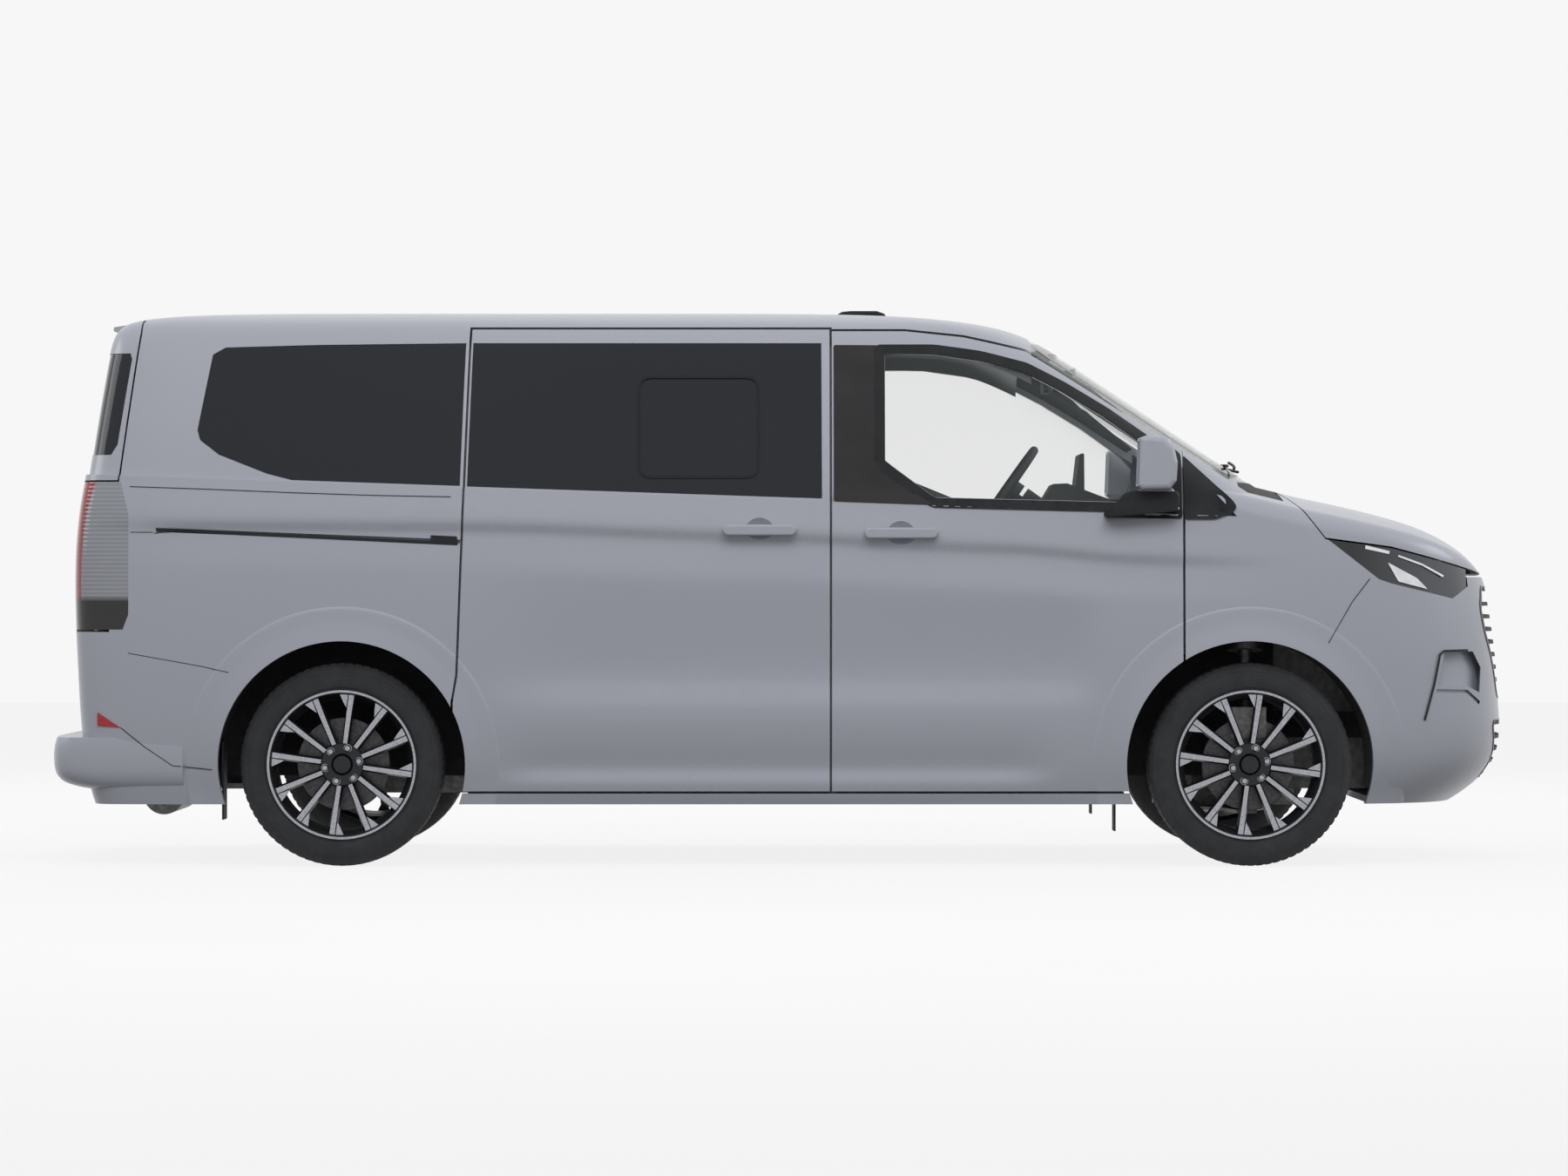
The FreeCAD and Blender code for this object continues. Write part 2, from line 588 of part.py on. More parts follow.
def cowl():
    panel = wall(BONNET_THICK).common(
        box(COWL_BACK_X, BONNET_HINGE_X - BONNET_GAP, -WINDSCREEN_FOOT_Y, WINDSCREEN_FOOT_Y, 1200, FAR))
    panel = panel.cut(windscreen_prism())
    return max(panel.Solids, key=lambda s: s.Volume)


ROOF_GROOVES_Y = (150, 330, 510)
GROOVE_WIDTH = 34
GROOVE_DEPTH = 5
GROOVE_X = (-1960, 120)


def roof():
    panel = wall(SIDE_WALL, ROOF_THICK).common(
        box(TAILGATE_HINGE_X + DOOR_GAP, WINDSCREEN_TOP_X, -ROOF_SEAM_Y, ROOF_SEAM_Y, 1500, FAR))
    for y in ROOF_GROOVES_Y:
        groove = box(*GROOVE_X, y, y + GROOVE_WIDTH, 1500, FAR).cut(master(GROOVE_DEPTH))
        panel = panel.cut(groove).cut(flip_y(groove))
    return max(panel.Solids, key=lambda s: s.Volume)


# Tail
REAR_GLASS_BOTTOM_Z = 1405
REAR_GLASS_TOP_Z = 1755


def rear_glass_prism(growth):
    return offset_prism([
        (-FAR, REAR_GLASS_BOTTOM_Z), (-2300, REAR_GLASS_BOTTOM_Z), (-2278, 1440), (-2236, 1735),
        (-2242, REAR_GLASS_TOP_Z), (-FAR, REAR_GLASS_TOP_Z)], growth)


# Lip over the rear window, and the place of the registration plate
SPOILER = ((-2252, 1868), (-2330, 1856), (-2330, 1842), (-2292, 1830), (-2258, 1834))
SPOILER_HALF_WIDTH = 560
SPOILER_ROUND = 5
PLATE_RECESS = ((-275, 960), (-290, 945), (-275, 812), (275, 812), (290, 945), (275, 960))
PLATE_FRONT_X = -2350
PLATE_DEPTH = 14


def tailgate():
    panel = wall(DOOR_THICK).common(offset_prism(TAILGATE_OUTLINE, -TAILGATE_GAP))
    lower = TAIL_LAMP_INNER_Y - TAILGATE_GAP
    for side in (-1, 1):
        y0, y1 = sorted((side * lower, side * FAR))
        panel = panel.cut(box(-FAR, 0, y0, y1, 0, TAIL_LAMP_TOP_Z + TAILGATE_GAP))
    panel = panel.cut(rear_glass_prism(0).cut(master(GLASS_SEAT)))
    plate = front_prism(PLATE_RECESS, -FAR, PLATE_FRONT_X).cut(master(PLATE_DEPTH))
    panel = panel.cut(rear_glass_prism(-GLASS_FLANGE)).cut(plate)
    spoiler = side_prism(SPOILER, -SPOILER_HALF_WIDTH, SPOILER_HALF_WIDTH)
    tip = [e for e in spoiler.Edges if e.BoundBox.XMax < SPOILER[1][0] + 1]
    spoiler = spoiler.makeFillet(SPOILER_ROUND, tip)
    return fused(max(panel.Solids, key=lambda s: s.Volume), spoiler)


def tailgate_glass():
    pane = hollow(master(GLASS_FRONT), master(GLASS_BACK)).common(rear_glass_prism(-1))
    return max(pane.Solids, key=lambda s: s.Volume)


def tail_lamp():
    lamp = wall(SIDE_WALL, ROOF_THICK).common(side_prism(LAMP_OUTLINE))
    return lamp.common(box(-FAR, 0, TAIL_LAMP_INNER_Y, FAR, 0, FAR))


STEP_LEVELS = (
    (252, -2330, 920), (268, -2470, 955), (300, -2514, 975), (340, -2524, 981), (410, -2524, 981),
    (440, -2512, 977))
STEP_FRONT_X = -2050
UNDER_TRAY = (-2330, 0, -760, 760, 0, 240)


def rear_bumper():
    panel = arch_cut(wall(WING_THICK).common(side_prism(REAR_BUMPER_LINE)), REAR_AXLE_X)
    panel = arch_cut(flip_y(panel), REAR_AXLE_X).cut(box(*UNDER_TRAY))
    inner = TAIL_LAMP_INNER_Y
    panel = panel.cut(box(-FAR, 0, -inner, inner, TAILGATE_BOTTOM_Z, FAR))
    step = skinned([(z, 0, rear, half) for z, rear, half in STEP_LEVELS], NOSE_LOW)
    step = step.common(box(-FAR, STEP_FRONT_X, -FAR, FAR, 0, FAR)).cut(master(WING_THICK / 2))
    return fused(max(panel.Solids, key=lambda s: s.Volume), step)


# Wheels, drawn at the origin with the outer face towards +Y
BEAD_RADIUS = 243.5
TYRE_FACETS = 52
RIM_HALF_WIDTH = 104
RIM_WALL = 7
SPOKES = 12
SPOKE_TURN = -8
SPOKE_WIDTH = 22
BLADE = ((12, 194), (13, 236), (33, 234), (25, 211))
BLADE_DEPTH = (62, 91)
HUB_BORE = 20.3
STUB_RADIUS = 20
HUB_RADIUS = 78
DISC_RADIUS = 160
DISC_Y = (-22, 2)
STUB_TIP_Y = 40


def ring(profile, x=0, z=0):
    """A solid of revolution about a line along Y, from Y and radius pairs."""
    face = Part.Face(polygon([Vector(x, y, z + r) for y, r in profile]))
    return face.revolve(Vector(x, 0, z), Vector(0, 1, 0), 360)


def faceted_ring(profile, sides):
    """A ring of flat facets about a line along Y, from Y and radius pairs, with a flat at the bottom."""
    half_step = math.pi / sides

    def corner(index, step):
        y, flat_radius = profile[index % len(profile)]
        angle = half_step * (2 * (step % sides) + 1)
        r = flat_radius / math.cos(half_step)
        return Vector(r * math.sin(angle), y, r * math.cos(angle))
    facets = []
    for i in range(len(profile)):
        for k in range(sides):
            facets.append(Part.Face(polygon([
                corner(i, k), corner(i + 1, k), corner(i + 1, k + 1), corner(i, k + 1)])))
    shell = Part.makeShell(facets)
    shell.sewShape()
    return Part.makeSolid(shell)


def tyre():
    """A hollow tyre with flat facets, which keep the four of them light."""
    half = TYRE_WIDTH / 2
    tread, bulge = TYRE_RADIUS, TYRE_RADIUS - 55
    outer = [(-92, BEAD_RADIUS), (-half, bulge), (-106, TYRE_RADIUS - 12), (-88, tread)]
    inner = [(-80, tread - 18), (-102, bulge), (-80, BEAD_RADIUS)]
    profile = outer + [(-y, r) for y, r in reversed(outer)]
    profile += [(-y, r) for y, r in reversed(inner)] + inner
    return faceted_ring(profile, TYRE_FACETS)


def rim():
    edge = RIM_HALF_WIDTH
    seat = BEAD_RADIUS - .3
    barrel = ring([
        (-edge + 12, seat), (-edge + 12, seat - RIM_WALL), (50, seat - RIM_WALL - 18),
        (edge - 12, seat - RIM_WALL - 6), (edge - 12, seat)])
    lips = []
    for side in (-1, 1):
        lip = [(-12, seat - 12), (-12, seat), (-11.7, seat), (1, RIM_RADIUS - 2), (5, RIM_RADIUS),
               (7, RIM_RADIUS - 2), (3, seat - 12)]
        lips.append(ring([(side * (edge + out), radius) for out, radius in lip]))
    hub = ring([(-30, HUB_BORE), (-30, 62), (6, 62), (6, 70), (58, HUB_RADIUS), (78, HUB_RADIUS), (82, 60),
                (82, 0), (56, 0), (56, HUB_BORE)])
    disc = ring([(DISC_Y[0], 60), (DISC_Y[0], DISC_RADIUS), (DISC_Y[1], DISC_RADIUS), (DISC_Y[1], 60)])
    spokes = []
    width = SPOKE_WIDTH / 2
    for i in range(SPOKES):
        profile = [(60, 66), (80, 66), (94, 234), (66, 234)]
        bar = Part.Face(polygon([Vector(-width, y, out) for y, out in profile])).extrude(Vector(2 * width, 0, 0))
        blade = Part.Face(polygon([Vector(across, BLADE_DEPTH[0], out) for across, out in BLADE]))
        blade = blade.extrude(Vector(0, BLADE_DEPTH[1] - BLADE_DEPTH[0], 0))
        for shape in (bar, blade):
            shape.rotate(Vector(0, 0, 0), Vector(0, 1, 0), 360 / SPOKES * i + SPOKE_TURN)
            spokes.append(shape)
    return fused(barrel, *lips, hub, disc, *spokes)


def placed(shape, x, y, z):
    copy = shape.copy()
    copy.translate(Vector(x, y, z))
    return copy


# Front suspension, drawn on the left
KINGPIN_LOW = (780, 190)
KINGPIN_TOP = (690, 830)
TOWER_TOP_Z = 905
FOOTWELL_Y = 545
LINER_FRONT_Y = 555
LINER_REAR_Y = 611
BULKHEAD_THICK = 30
CROSSMEMBER_X = (2330, 2390)
ARM_BOTTOM_Z = 175
ARM_THICK = 12
TOW_EYE_RADIUS = 10
TOW_EYE_YZ = (-380, 458)


def kingpin_y(z):
    share = (z - KINGPIN_LOW[1]) / (KINGPIN_TOP[1] - KINGPIN_LOW[1])
    return KINGPIN_LOW[0] + share * (KINGPIN_TOP[0] - KINGPIN_LOW[0])


def on_kingpin(radius, z_low, z_high):
    base = Vector(FRONT_AXLE_X, kingpin_y(z_low), z_low)
    top = Vector(FRONT_AXLE_X, kingpin_y(z_high), z_high)
    return Part.makeCylinder(radius, (top - base).Length, base, top - base)


def knuckle():
    """The front hub carrier with its strut, stub axle and brake caliper."""
    x, z, y = FRONT_AXLE_X, TYRE_RADIUS, WHEEL_CENTRE_Y
    stub = cylinder_y(STUB_RADIUS, x, z, 790, y + STUB_TIP_Y)
    carrier = box(x - 45, x + 45, 790, 830, 215, 480)
    foot = box(x - 30, x + 30, 760, 800, 195, 260)
    stud = on_kingpin(14, ARM_BOTTOM_Z + ARM_THICK + 2, 205)
    neck = box(x - 30, x + 30, 700, 800, 440, 480)
    strut = on_kingpin(24, 470, TOWER_TOP_Z - 60)
    spring = on_kingpin(62, 735, TOWER_TOP_Z - 30)
    caliper = box(x - 60, x + 60, 834, 884, z + 90, z + 195).cut(
        cylinder_y(DISC_RADIUS + 6, x, z, y + DISC_Y[0] - 6, y + DISC_Y[1] + 6))
    caliper = max(caliper.Solids, key=lambda s: s.Volume)
    bracket = box(x - 40, x + 40, 820, 840, z + 80, z + 190)
    return fused(stub, carrier, foot, stud, neck, strut, spring, caliper, bracket)


def front_subframe():
    x = FRONT_AXLE_X
    frame = [box(x - 260, x + 200, -330, 330, 190, 250)]
    for side in (-1, 1):
        plan = ((-220, 310), (120, 310), (45, 560), (35, 800), (-35, 800), (-60, 560))
        arm = polygon([Vector(x + dx, side * y, ARM_BOTTOM_Z) for dx, y in plan])
        frame.append(Part.Face(arm).extrude(Vector(0, 0, ARM_THICK)))
        inner, outer = sorted((side * 270, side * 330))
        frame.append(box(x - 260, x + 100, inner, outer, 175, 250))
        frame.append(box(x - 260, x - 160, inner, outer, 250, FLOOR_BOTTOM_Z))
    return fused(*frame)


def mirrored_boxes(spans):
    """Boxes on both sides, each given as X, |Y| and Z limits."""
    boxes = []
    for x0, x1, y0, y1, z0, z1 in spans:
        boxes += [box(x0, x1, y0, y1, z0, z1), box(x0, x1, -y1, -y0, z0, z1)]
    return boxes


def front_structure():
    """Bulkhead, side rails, spring towers and crossmember round the engine."""
    x, wall_x = FRONT_AXLE_X, FIREWALL_X - BULKHEAD_THICK
    arch_top = TYRE_RADIUS + LINER_OUTER + 2
    middle = [
        box(wall_x, FIREWALL_X, -FOOTWELL_Y, FOOTWELL_Y, FLOOR_BOTTOM_Z, 1195),
        box(wall_x, FIREWALL_X, -860, 860, arch_top, 1195),
        box(wall_x, 1620, -700, 700, 1180, 1200),
        box(1600, 1620, -700, 700, 1180, 1236),
        box(*CROSSMEMBER_X, -560, 560, 420, 520)]
    sides = mirrored_boxes((
        (wall_x, 2340, 470, FOOTWELL_Y, 430, 520),
        (x - 110, x + 110, FOOTWELL_Y - 15, FOOTWELL_Y, 500, 960),
        (x - 110, x + 110, FOOTWELL_Y - 15, 905, TOWER_TOP_Z, 960)))
    rails = box(wall_x, 1830, 900, FAR, 880, 960).common(master(WING_THICK + .3))
    footwell = cylinder_y(LINER_OUTER + 8, x, TYRE_RADIUS, FOOTWELL_Y - 10, LINER_FRONT_Y)
    footwell = footwell.common(box(0, wall_x, 0, FAR, FLOOR_BOTTOM_Z, FAR))
    corner = box(wall_x, FIREWALL_X, 840, 905, arch_top, 960)
    side_pieces = [rails, footwell, corner]
    frame = fused(*middle, *sides, *side_pieces, *[flip_y(piece) for piece in side_pieces])
    length = CROSSMEMBER_X[1] - CROSSMEMBER_X[0]
    start = Vector(CROSSMEMBER_X[0], *TOW_EYE_YZ)
    return frame.cut(Part.makeCylinder(TOW_EYE_RADIUS, length, start, Vector(1, 0, 0)))


def floor_pan():
    pan = box(-2330, FIREWALL_X - 30, -ROCKER_INNER_Y, ROCKER_INNER_Y, FLOOR_BOTTOM_Z, FLOOR_TOP_Z)
    for corner in mirrored_boxes(((FRONT_AXLE_X - LINER_OUTER - 9, FAR, FOOTWELL_Y - 10, FAR, 0, FAR),)):
        pan = pan.cut(corner)
    parts = []
    for side in (-1, 1):
        low, high = sorted((side * 610, side * 905))
        space = cylinder_y(LINER_OUTER + .5, REAR_AXLE_X, TYRE_RADIUS, low, high)
        pan = pan.cut(space)
        inner, outer = sorted((side * 598, side * 905))
        house = cylinder_y(LINER_OUTER + 12, REAR_AXLE_X, TYRE_RADIUS, inner, outer).cut(space)
        parts.append(house.common(box(-FAR, 0, -FAR, FAR, FLOOR_BOTTOM_Z, FAR)).common(master(SIDE_WALL + 2)))
    return fused(pan, *parts)


def arch_liners():
    parts = []
    for x, low_y in ((FRONT_AXLE_X, LINER_FRONT_Y), (REAR_AXLE_X, LINER_REAR_Y)):
        shell = cylinder_y(LINER_OUTER, x, TYRE_RADIUS, low_y, 965)
        shell = shell.cut(cylinder_y(LINER_INNER, x, TYRE_RADIUS, 0, FAR))
        shell = shell.common(box(-FAR, FAR, 0, FAR, 270, FAR)).common(master(WING_THICK + LINER_GAP))
        if x > 0:
            shell = shell.cut(box(x - 95, x + 95, 0, 790, TYRE_RADIUS, FAR))
        parts += [shell, flip_y(shell)]
    return Part.makeCompound(parts)


def rear_axle():
    """A twist beam with trailing arms, spring seats and stub axles."""
    x, z = REAR_AXLE_X, TYRE_RADIUS
    arms = mirrored_boxes((
        (x - 60, x + 560, 540, 590, 240, FLOOR_BOTTOM_Z),
        (x - 45, x + 45, 540, 700, 235, FLOOR_BOTTOM_Z - 3),
        (x - 45, x + 45, LINER_REAR_Y + 30, 830, 235, z + 50)))
    stubs = [cylinder_y(STUB_RADIUS, x, z, 820, WHEEL_CENTRE_Y + STUB_TIP_Y)]
    stubs.append(flip_y(stubs[0]))
    return fused(box(x + 60, x + 160, -590, 590, 250, 290), *arms, *stubs)


def engine_block():
    return box(1600, 2180, -430, 430, 250, 1010)


def fuel_tank():
    return box(-760, 60, -420, 420, 200, FLOOR_BOTTOM_Z)


def exhaust():
    silencer = cylinder_y(72, -2180, 226, -300, 300)
    hanger = box(-2200, -2160, -200, -160, 280, FLOOR_BOTTOM_Z)
    return fused(silencer, hanger)


FLAP_THICK = 6


def mudflaps():
    parts = []
    for x, z0, z1 in ((FRONT_AXLE_X - 456, 118, SILL_BOTTOM_Z), (REAR_AXLE_X - 408, 157, 424)):
        flap = box(x - FLAP_THICK, x, 770, 900, z0, z1)
        parts += [flap, flip_y(flap)]
    return Part.makeCompound(parts)


# Side outlines of the mirror's housing and arm
MIRROR_HOUSE = (
    (1198, 1296), (1204, 1458), (1230, 1468), (1288, 1462), (1322, 1428), (1334, 1376), (1330, 1312),
    (1308, 1284), (1212, 1282))
MIRROR_ARM = ((1128, 1216), (1142, 1238), (1222, 1290), (1320, 1290), (1340, 1262), (1344, 1216))
MIRROR_INNER_Y = 988
MIRROR_GLASS = (1014, 1122, 1304, 1448)
MIRROR_GLASS_DEPTH = 12
MIRROR_ROUND = 20
MIRROR_ARM_Y = (930, 1064)


def mirror():
    """The mirror's rounded housing with a sunk face, on an arm that grows out of the window's corner."""
    house = side_prism(MIRROR_HOUSE, MIRROR_INNER_Y, MIRROR_HALF_WIDTH)
    house = house.makeFillet(MIRROR_ROUND, [e for e in house.Edges if e.BoundBox.YLength < 1])
    house = house.cut(box(1100, MIRROR_HOUSE[0][0] + MIRROR_GLASS_DEPTH, *MIRROR_GLASS))
    arm = side_prism(MIRROR_ARM, *MIRROR_ARM_Y)
    arm = arm.makeFillet(MIRROR_ROUND / 2, [e for e in arm.Edges if e.BoundBox.YMin > MIRROR_ARM_Y[1] - 1])
    return fused(house, arm).cut(master(-.3))


ANTENNA = (
    (186, 1890), (188, 1922), (206, 1933), (236, 1936), (330, 1936), (356, 1927), (374, 1904), (374, 1890))
ANTENNA_HALF_WIDTH = 36


def roof_antenna():
    pod = side_prism(ANTENNA, -ANTENNA_HALF_WIDTH, ANTENNA_HALF_WIDTH)
    pod = pod.makeFillet(10, [e for e in pod.Edges if e.BoundBox.ZMin > 1893 and e.BoundBox.YLength < 1])
    return pod.cut(master(-.3))


def seat_block(x0, x1, y0, y1, z0, z1, radius):
    block = box(x0, x1, y0, y1, z0, z1)
    return block.makeFillet(radius, block.Edges)


def seat_back(x, y0, y1, z0, z1, lean, depth):
    """A leaning back with its lower front edge at x."""
    rise = z1 - z0
    shift = rise * math.tan(math.radians(lean))
    profile = polygon([
        Vector(x, y0, z0), Vector(x - depth, y0, z0), Vector(x - depth * .75 - shift, y0, z1),
        Vector(x - depth * .2 - shift, y0, z1)])
    block = Part.Face(profile).extrude(Vector(0, y1 - y0, 0))
    return block.makeFillet(depth * .2, block.Edges)


# Name of the row, front edge of its cushions, side limits of its seats, cushion height
SEAT_ROWS = (
    ("front", 700, ((-640, -130), (130, 640)), 830),
    ("second", -330, ((-500, -10), (10, 500)), 800),
    ("third", -1290, ((-560, -10), (10, 560)), 790))
CUSHION_DEPTH = 500
CUSHION_THICK = 150
BACK_DEPTH = 130
BACK_LEAN = 16
BACK_HEIGHT = 600
HEADREST = (110, 260, 170)


def seat_row(front, spans, top):
    """The cushions with their backs, and the frames under them."""
    soft, frames = [], []
    foot = front - CUSHION_DEPTH + 60
    for y0, y1 in spans:
        soft.append(seat_block(front - CUSHION_DEPTH, front, y0, y1, top - CUSHION_THICK, top, 45))
        back = seat_back(foot, y0 + 15, y1 - 15, top, top + BACK_HEIGHT, BACK_LEAN, BACK_DEPTH)
        middle = (y0 + y1) / 2
        depth, width, height = HEADREST
        head_x = foot - BACK_HEIGHT * math.tan(math.radians(BACK_LEAN)) - BACK_DEPTH
        head_z = top + BACK_HEIGHT + 25
        head = seat_block(
            head_x, head_x + depth, middle - width / 2, middle + width / 2, head_z, head_z + height, 40)
        post = box(head_x + 40, head_x + 70, middle - 60, middle + 60, head_z - 90, head_z + 60)
        soft.append(fused(back, head, post))
        back_x = front - CUSHION_DEPTH + 40
        frames.append(box(back_x, front - 60, y0 + 60, y1 - 60, FLOOR_TOP_Z, top - CUSHION_THICK))
    return soft, frames


STEER_CENTRE = (775, -385, 1288)
STEER_LEAN = 35
STEER_RADIUS = 190
SHROUD = (60, 420)
SHROUD_RADIUS = 55
COLUMN_GAP = 6
COLUMN_RADIUS = 20
COLUMN_TIP = 150


def on_column(radius, start, end):
    """A cylinder on the line of the steering column, measured forward from the wheel's centre."""
    lean = math.radians(STEER_LEAN)
    along = Vector(math.cos(lean), 0, -math.sin(lean))
    return Part.makeCylinder(radius, end - start, Vector(*STEER_CENTRE) + along * start, along)


HOOD = ((905, 1150), (905, 1262), (935, 1312), (985, 1314), (1170, 1244), (1170, 1150))
HOOD_HALF_WIDTH = 165
HOOD_ROUND = 6
SCREEN = ((1042, 1130), (1024, 1236), (1046, 1424), (1062, 1428), (1064, 1150))
SCREEN_HALF_WIDTH = 165


def dashboard():
    back = FIREWALL_X - BULKHEAD_THICK
    profile = [(1000, 1010), (1050, 860), (1180, 740), (back, 720), (back, 1201), (1590, 1201),
               (1590, 1246), (1300, 1250), (1130, 1222), (1035, 1140)]
    shape = side_prism(profile, -840, 840).common(master(SIDE_WALL + 4))
    shape = shape.cut(cylinder_y(LINER_OUTER + 12, FRONT_AXLE_X, TYRE_RADIUS, -FAR, FAR))
    hood = side_prism(HOOD, STEER_CENTRE[1] - HOOD_HALF_WIDTH, STEER_CENTRE[1] + HOOD_HALF_WIDTH)
    screen = side_prism(SCREEN, -SCREEN_HALF_WIDTH, SCREEN_HALF_WIDTH)
    for extra in (hood, screen):
        upper_edges = [e for e in extra.Edges if e.BoundBox.YLength > 100 and e.BoundBox.ZMin > HOOD[1][1]]
        shape = fused(shape, extra.makeFillet(HOOD_ROUND, upper_edges))
    shape = fused(shape, on_column(SHROUD_RADIUS, *SHROUD))
    return shape.cut(on_column(COLUMN_RADIUS + COLUMN_GAP, 0, COLUMN_TIP + COLUMN_GAP))


def steering_wheel():
    centre, axis = Vector(*STEER_CENTRE), Vector(0, 1, 0)
    hoop = Part.makeTorus(STEER_RADIUS - 15, 15, Vector(0, 0, 0), Vector(1, 0, 0))
    reach = STEER_RADIUS - 12
    bars = [box(0, 18, -reach, reach, -14, 14), box(0, 18, -14, 14, -reach, 0)]
    for piece in [hoop, *bars]:
        piece.rotate(Vector(0, 0, 0), axis, STEER_LEAN)
        piece.translate(centre)
    return fused(hoop, on_column(55, 0, 45), on_column(COLUMN_RADIUS, 30, COLUMN_TIP), *bars)


HANDLE_LENGTH = 250
HANDLE_HEIGHT = 38
HANDLE_PROUD = 30
HANDLE_BAR = 17
HANDLE_FOOT = 34
BOWL_RADIUS = 50
BOWL_DEPTH = 17
DOOR_HANDLE = (274, 1137)
SLIDER_HANDLE = (-208, 1147)


def with_handle(panel, x, z):
    """A door with a bowl pressed in it and a rounded pull bar across the bowl on two feet."""
    skin_y = on_side(x + HANDLE_LENGTH / 2, z).y
    outer, half = skin_y + HANDLE_PROUD, HANDLE_HEIGHT / 2
    ball_radius = (BOWL_RADIUS ** 2 + BOWL_DEPTH ** 2) / (2 * BOWL_DEPTH)
    ball = Part.makeSphere(ball_radius, Vector(x + HANDLE_LENGTH / 2, skin_y + ball_radius - BOWL_DEPTH, z))
    bar = box(x, x + HANDLE_LENGTH, outer - HANDLE_BAR, outer, z - half, z + half)
    bar = bar.makeFillet(half - .5, [e for e in bar.Edges if e.BoundBox.YLength > HANDLE_BAR - 1])
    bar = bar.makeFillet(HANDLE_BAR * .45, [e for e in bar.Edges if e.BoundBox.YMin > outer - 1])
    starts = (x + 6, x + HANDLE_LENGTH - HANDLE_FOOT - 6)
    low, high = z - half + 7, z + half - 7
    feet = [box(start, start + HANDLE_FOOT, skin_y - 30, outer - 4, low, high) for start in starts]
    return fused(panel.cut(ball), bar, *feet)


def both(name, shape):
    """A part drawn on the left and its mirror image."""
    return {name + "_left": shape, name + "_right": flip_y(shape)}


def seats():
    parts, frames = {}, []
    for name, *place in SEAT_ROWS:
        soft, under = seat_row(*place)
        parts[name + "_seats"] = Part.makeCompound(soft)
        frames += under
    parts["seat_frames"] = Part.makeCompound(frames)
    return parts


def wheels():
    parts = {}
    for end, x in (("front", FRONT_AXLE_X), ("rear", REAR_AXLE_X)):
        for name, shape in (("tyre", tyre()), ("rim", rim())):
            parts[name + "_" + end + "_left"] = placed(shape, x, WHEEL_CENTRE_Y, TYRE_RADIUS)
            turned = shape.copy()
            turned.rotate(Vector(0, 0, 0), Vector(0, 0, 1), 180)
            parts[name + "_" + end + "_right"] = placed(turned, x, -WHEEL_CENTRE_Y, TYRE_RADIUS)
    return parts


def sides():
    parts = {}
    parts.update(both("body_side", body_side()))
    parts.update(both("door", with_handle(front_door(), *DOOR_HANDLE)))
    parts.update(both("sliding_door", with_handle(sliding_door(), *SLIDER_HANDLE)))
    parts.update(both("door_glass", glass_in(DOOR_WINDOW, *SIDE)))
    parts.update(both("mirror", mirror()))
    parts.update(both("wing", wing()))
    parts.update(both("knuckle", knuckle()))
    fixed_glass = [glass_in(SLIDER_WINDOW, *SIDE), glass_in(QUARTER_WINDOW, *SIDE)]
    parts["side_glass"] = Part.makeCompound(fixed_glass + [flip_y(pane) for pane in fixed_glass])
    for name, shape in (("headlamps", headlamp()), ("tail_lamps", tail_lamp())):
        parts[name] = Part.makeCompound([shape, flip_y(shape)])
    return parts


PARTS = {
    "roof": roof(), "bonnet_panel": bonnet(), "front_bumper": front_bumper(), "grille": grille(),
    "windscreen": windscreen(), "cowl": cowl(), "tailgate_panel": tailgate(), "tailgate_glass": tailgate_glass(),
    "rear_bumper": rear_bumper(), "floor_pan": floor_pan(), "front_structure": front_structure(),
    "front_subframe": front_subframe(), "rear_axle": rear_axle(), "arch_liners": arch_liners(),
    "mudflaps": mudflaps(), "engine_block": engine_block(), "fuel_tank": fuel_tank(), "exhaust": exhaust(),
    "dashboard": dashboard(), "steering_wheel": steering_wheel(), "roof_antenna": roof_antenna()}
PARTS.update(sides())
PARTS.update(wheels())
PARTS.update(seats())

for node, shape in PARTS.items():
    shape.exportStep("parts/" + node + ".step")
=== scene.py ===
"""The looks of a grey minibus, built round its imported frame.

Metres. +X points forward, +Y to the left, +Z up. The right side is at negative Y.
"""
import json
import math
from collections import namedtuple
from functools import partial

import bmesh
import bpy
from mathutils import Matrix, Vector
from mathutils.bvhtree import BVHTree
from mathutils.geometry import delaunay_2d_cdt


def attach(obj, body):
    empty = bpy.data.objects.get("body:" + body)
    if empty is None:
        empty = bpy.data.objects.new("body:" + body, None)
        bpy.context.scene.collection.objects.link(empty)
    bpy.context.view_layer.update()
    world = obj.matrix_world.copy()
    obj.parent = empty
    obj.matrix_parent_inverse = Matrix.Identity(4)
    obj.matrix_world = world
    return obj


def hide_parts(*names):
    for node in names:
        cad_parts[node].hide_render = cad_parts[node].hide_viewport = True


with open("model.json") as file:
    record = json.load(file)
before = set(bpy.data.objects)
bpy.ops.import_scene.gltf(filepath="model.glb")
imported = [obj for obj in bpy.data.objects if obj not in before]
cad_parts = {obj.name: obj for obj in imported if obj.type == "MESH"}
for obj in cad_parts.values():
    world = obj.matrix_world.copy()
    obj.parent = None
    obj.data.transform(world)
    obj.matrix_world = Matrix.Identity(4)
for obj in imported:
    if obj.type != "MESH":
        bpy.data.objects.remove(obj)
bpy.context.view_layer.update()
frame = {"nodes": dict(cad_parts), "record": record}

MM = 0.001
AXLES_X = {"front": 1.591, "rear": -1.509}
AXLE_Z = 0.347
WHEEL_Y = 0.868
SIDES = (("left", 1), ("right", -1))


def mm(*points):
    """Points of an outline, line or profile, from millimetres."""
    return [(first * MM, second * MM) for first, second in points]


def middle_of(points):
    return sum(points[1:], points[0]) / len(points)


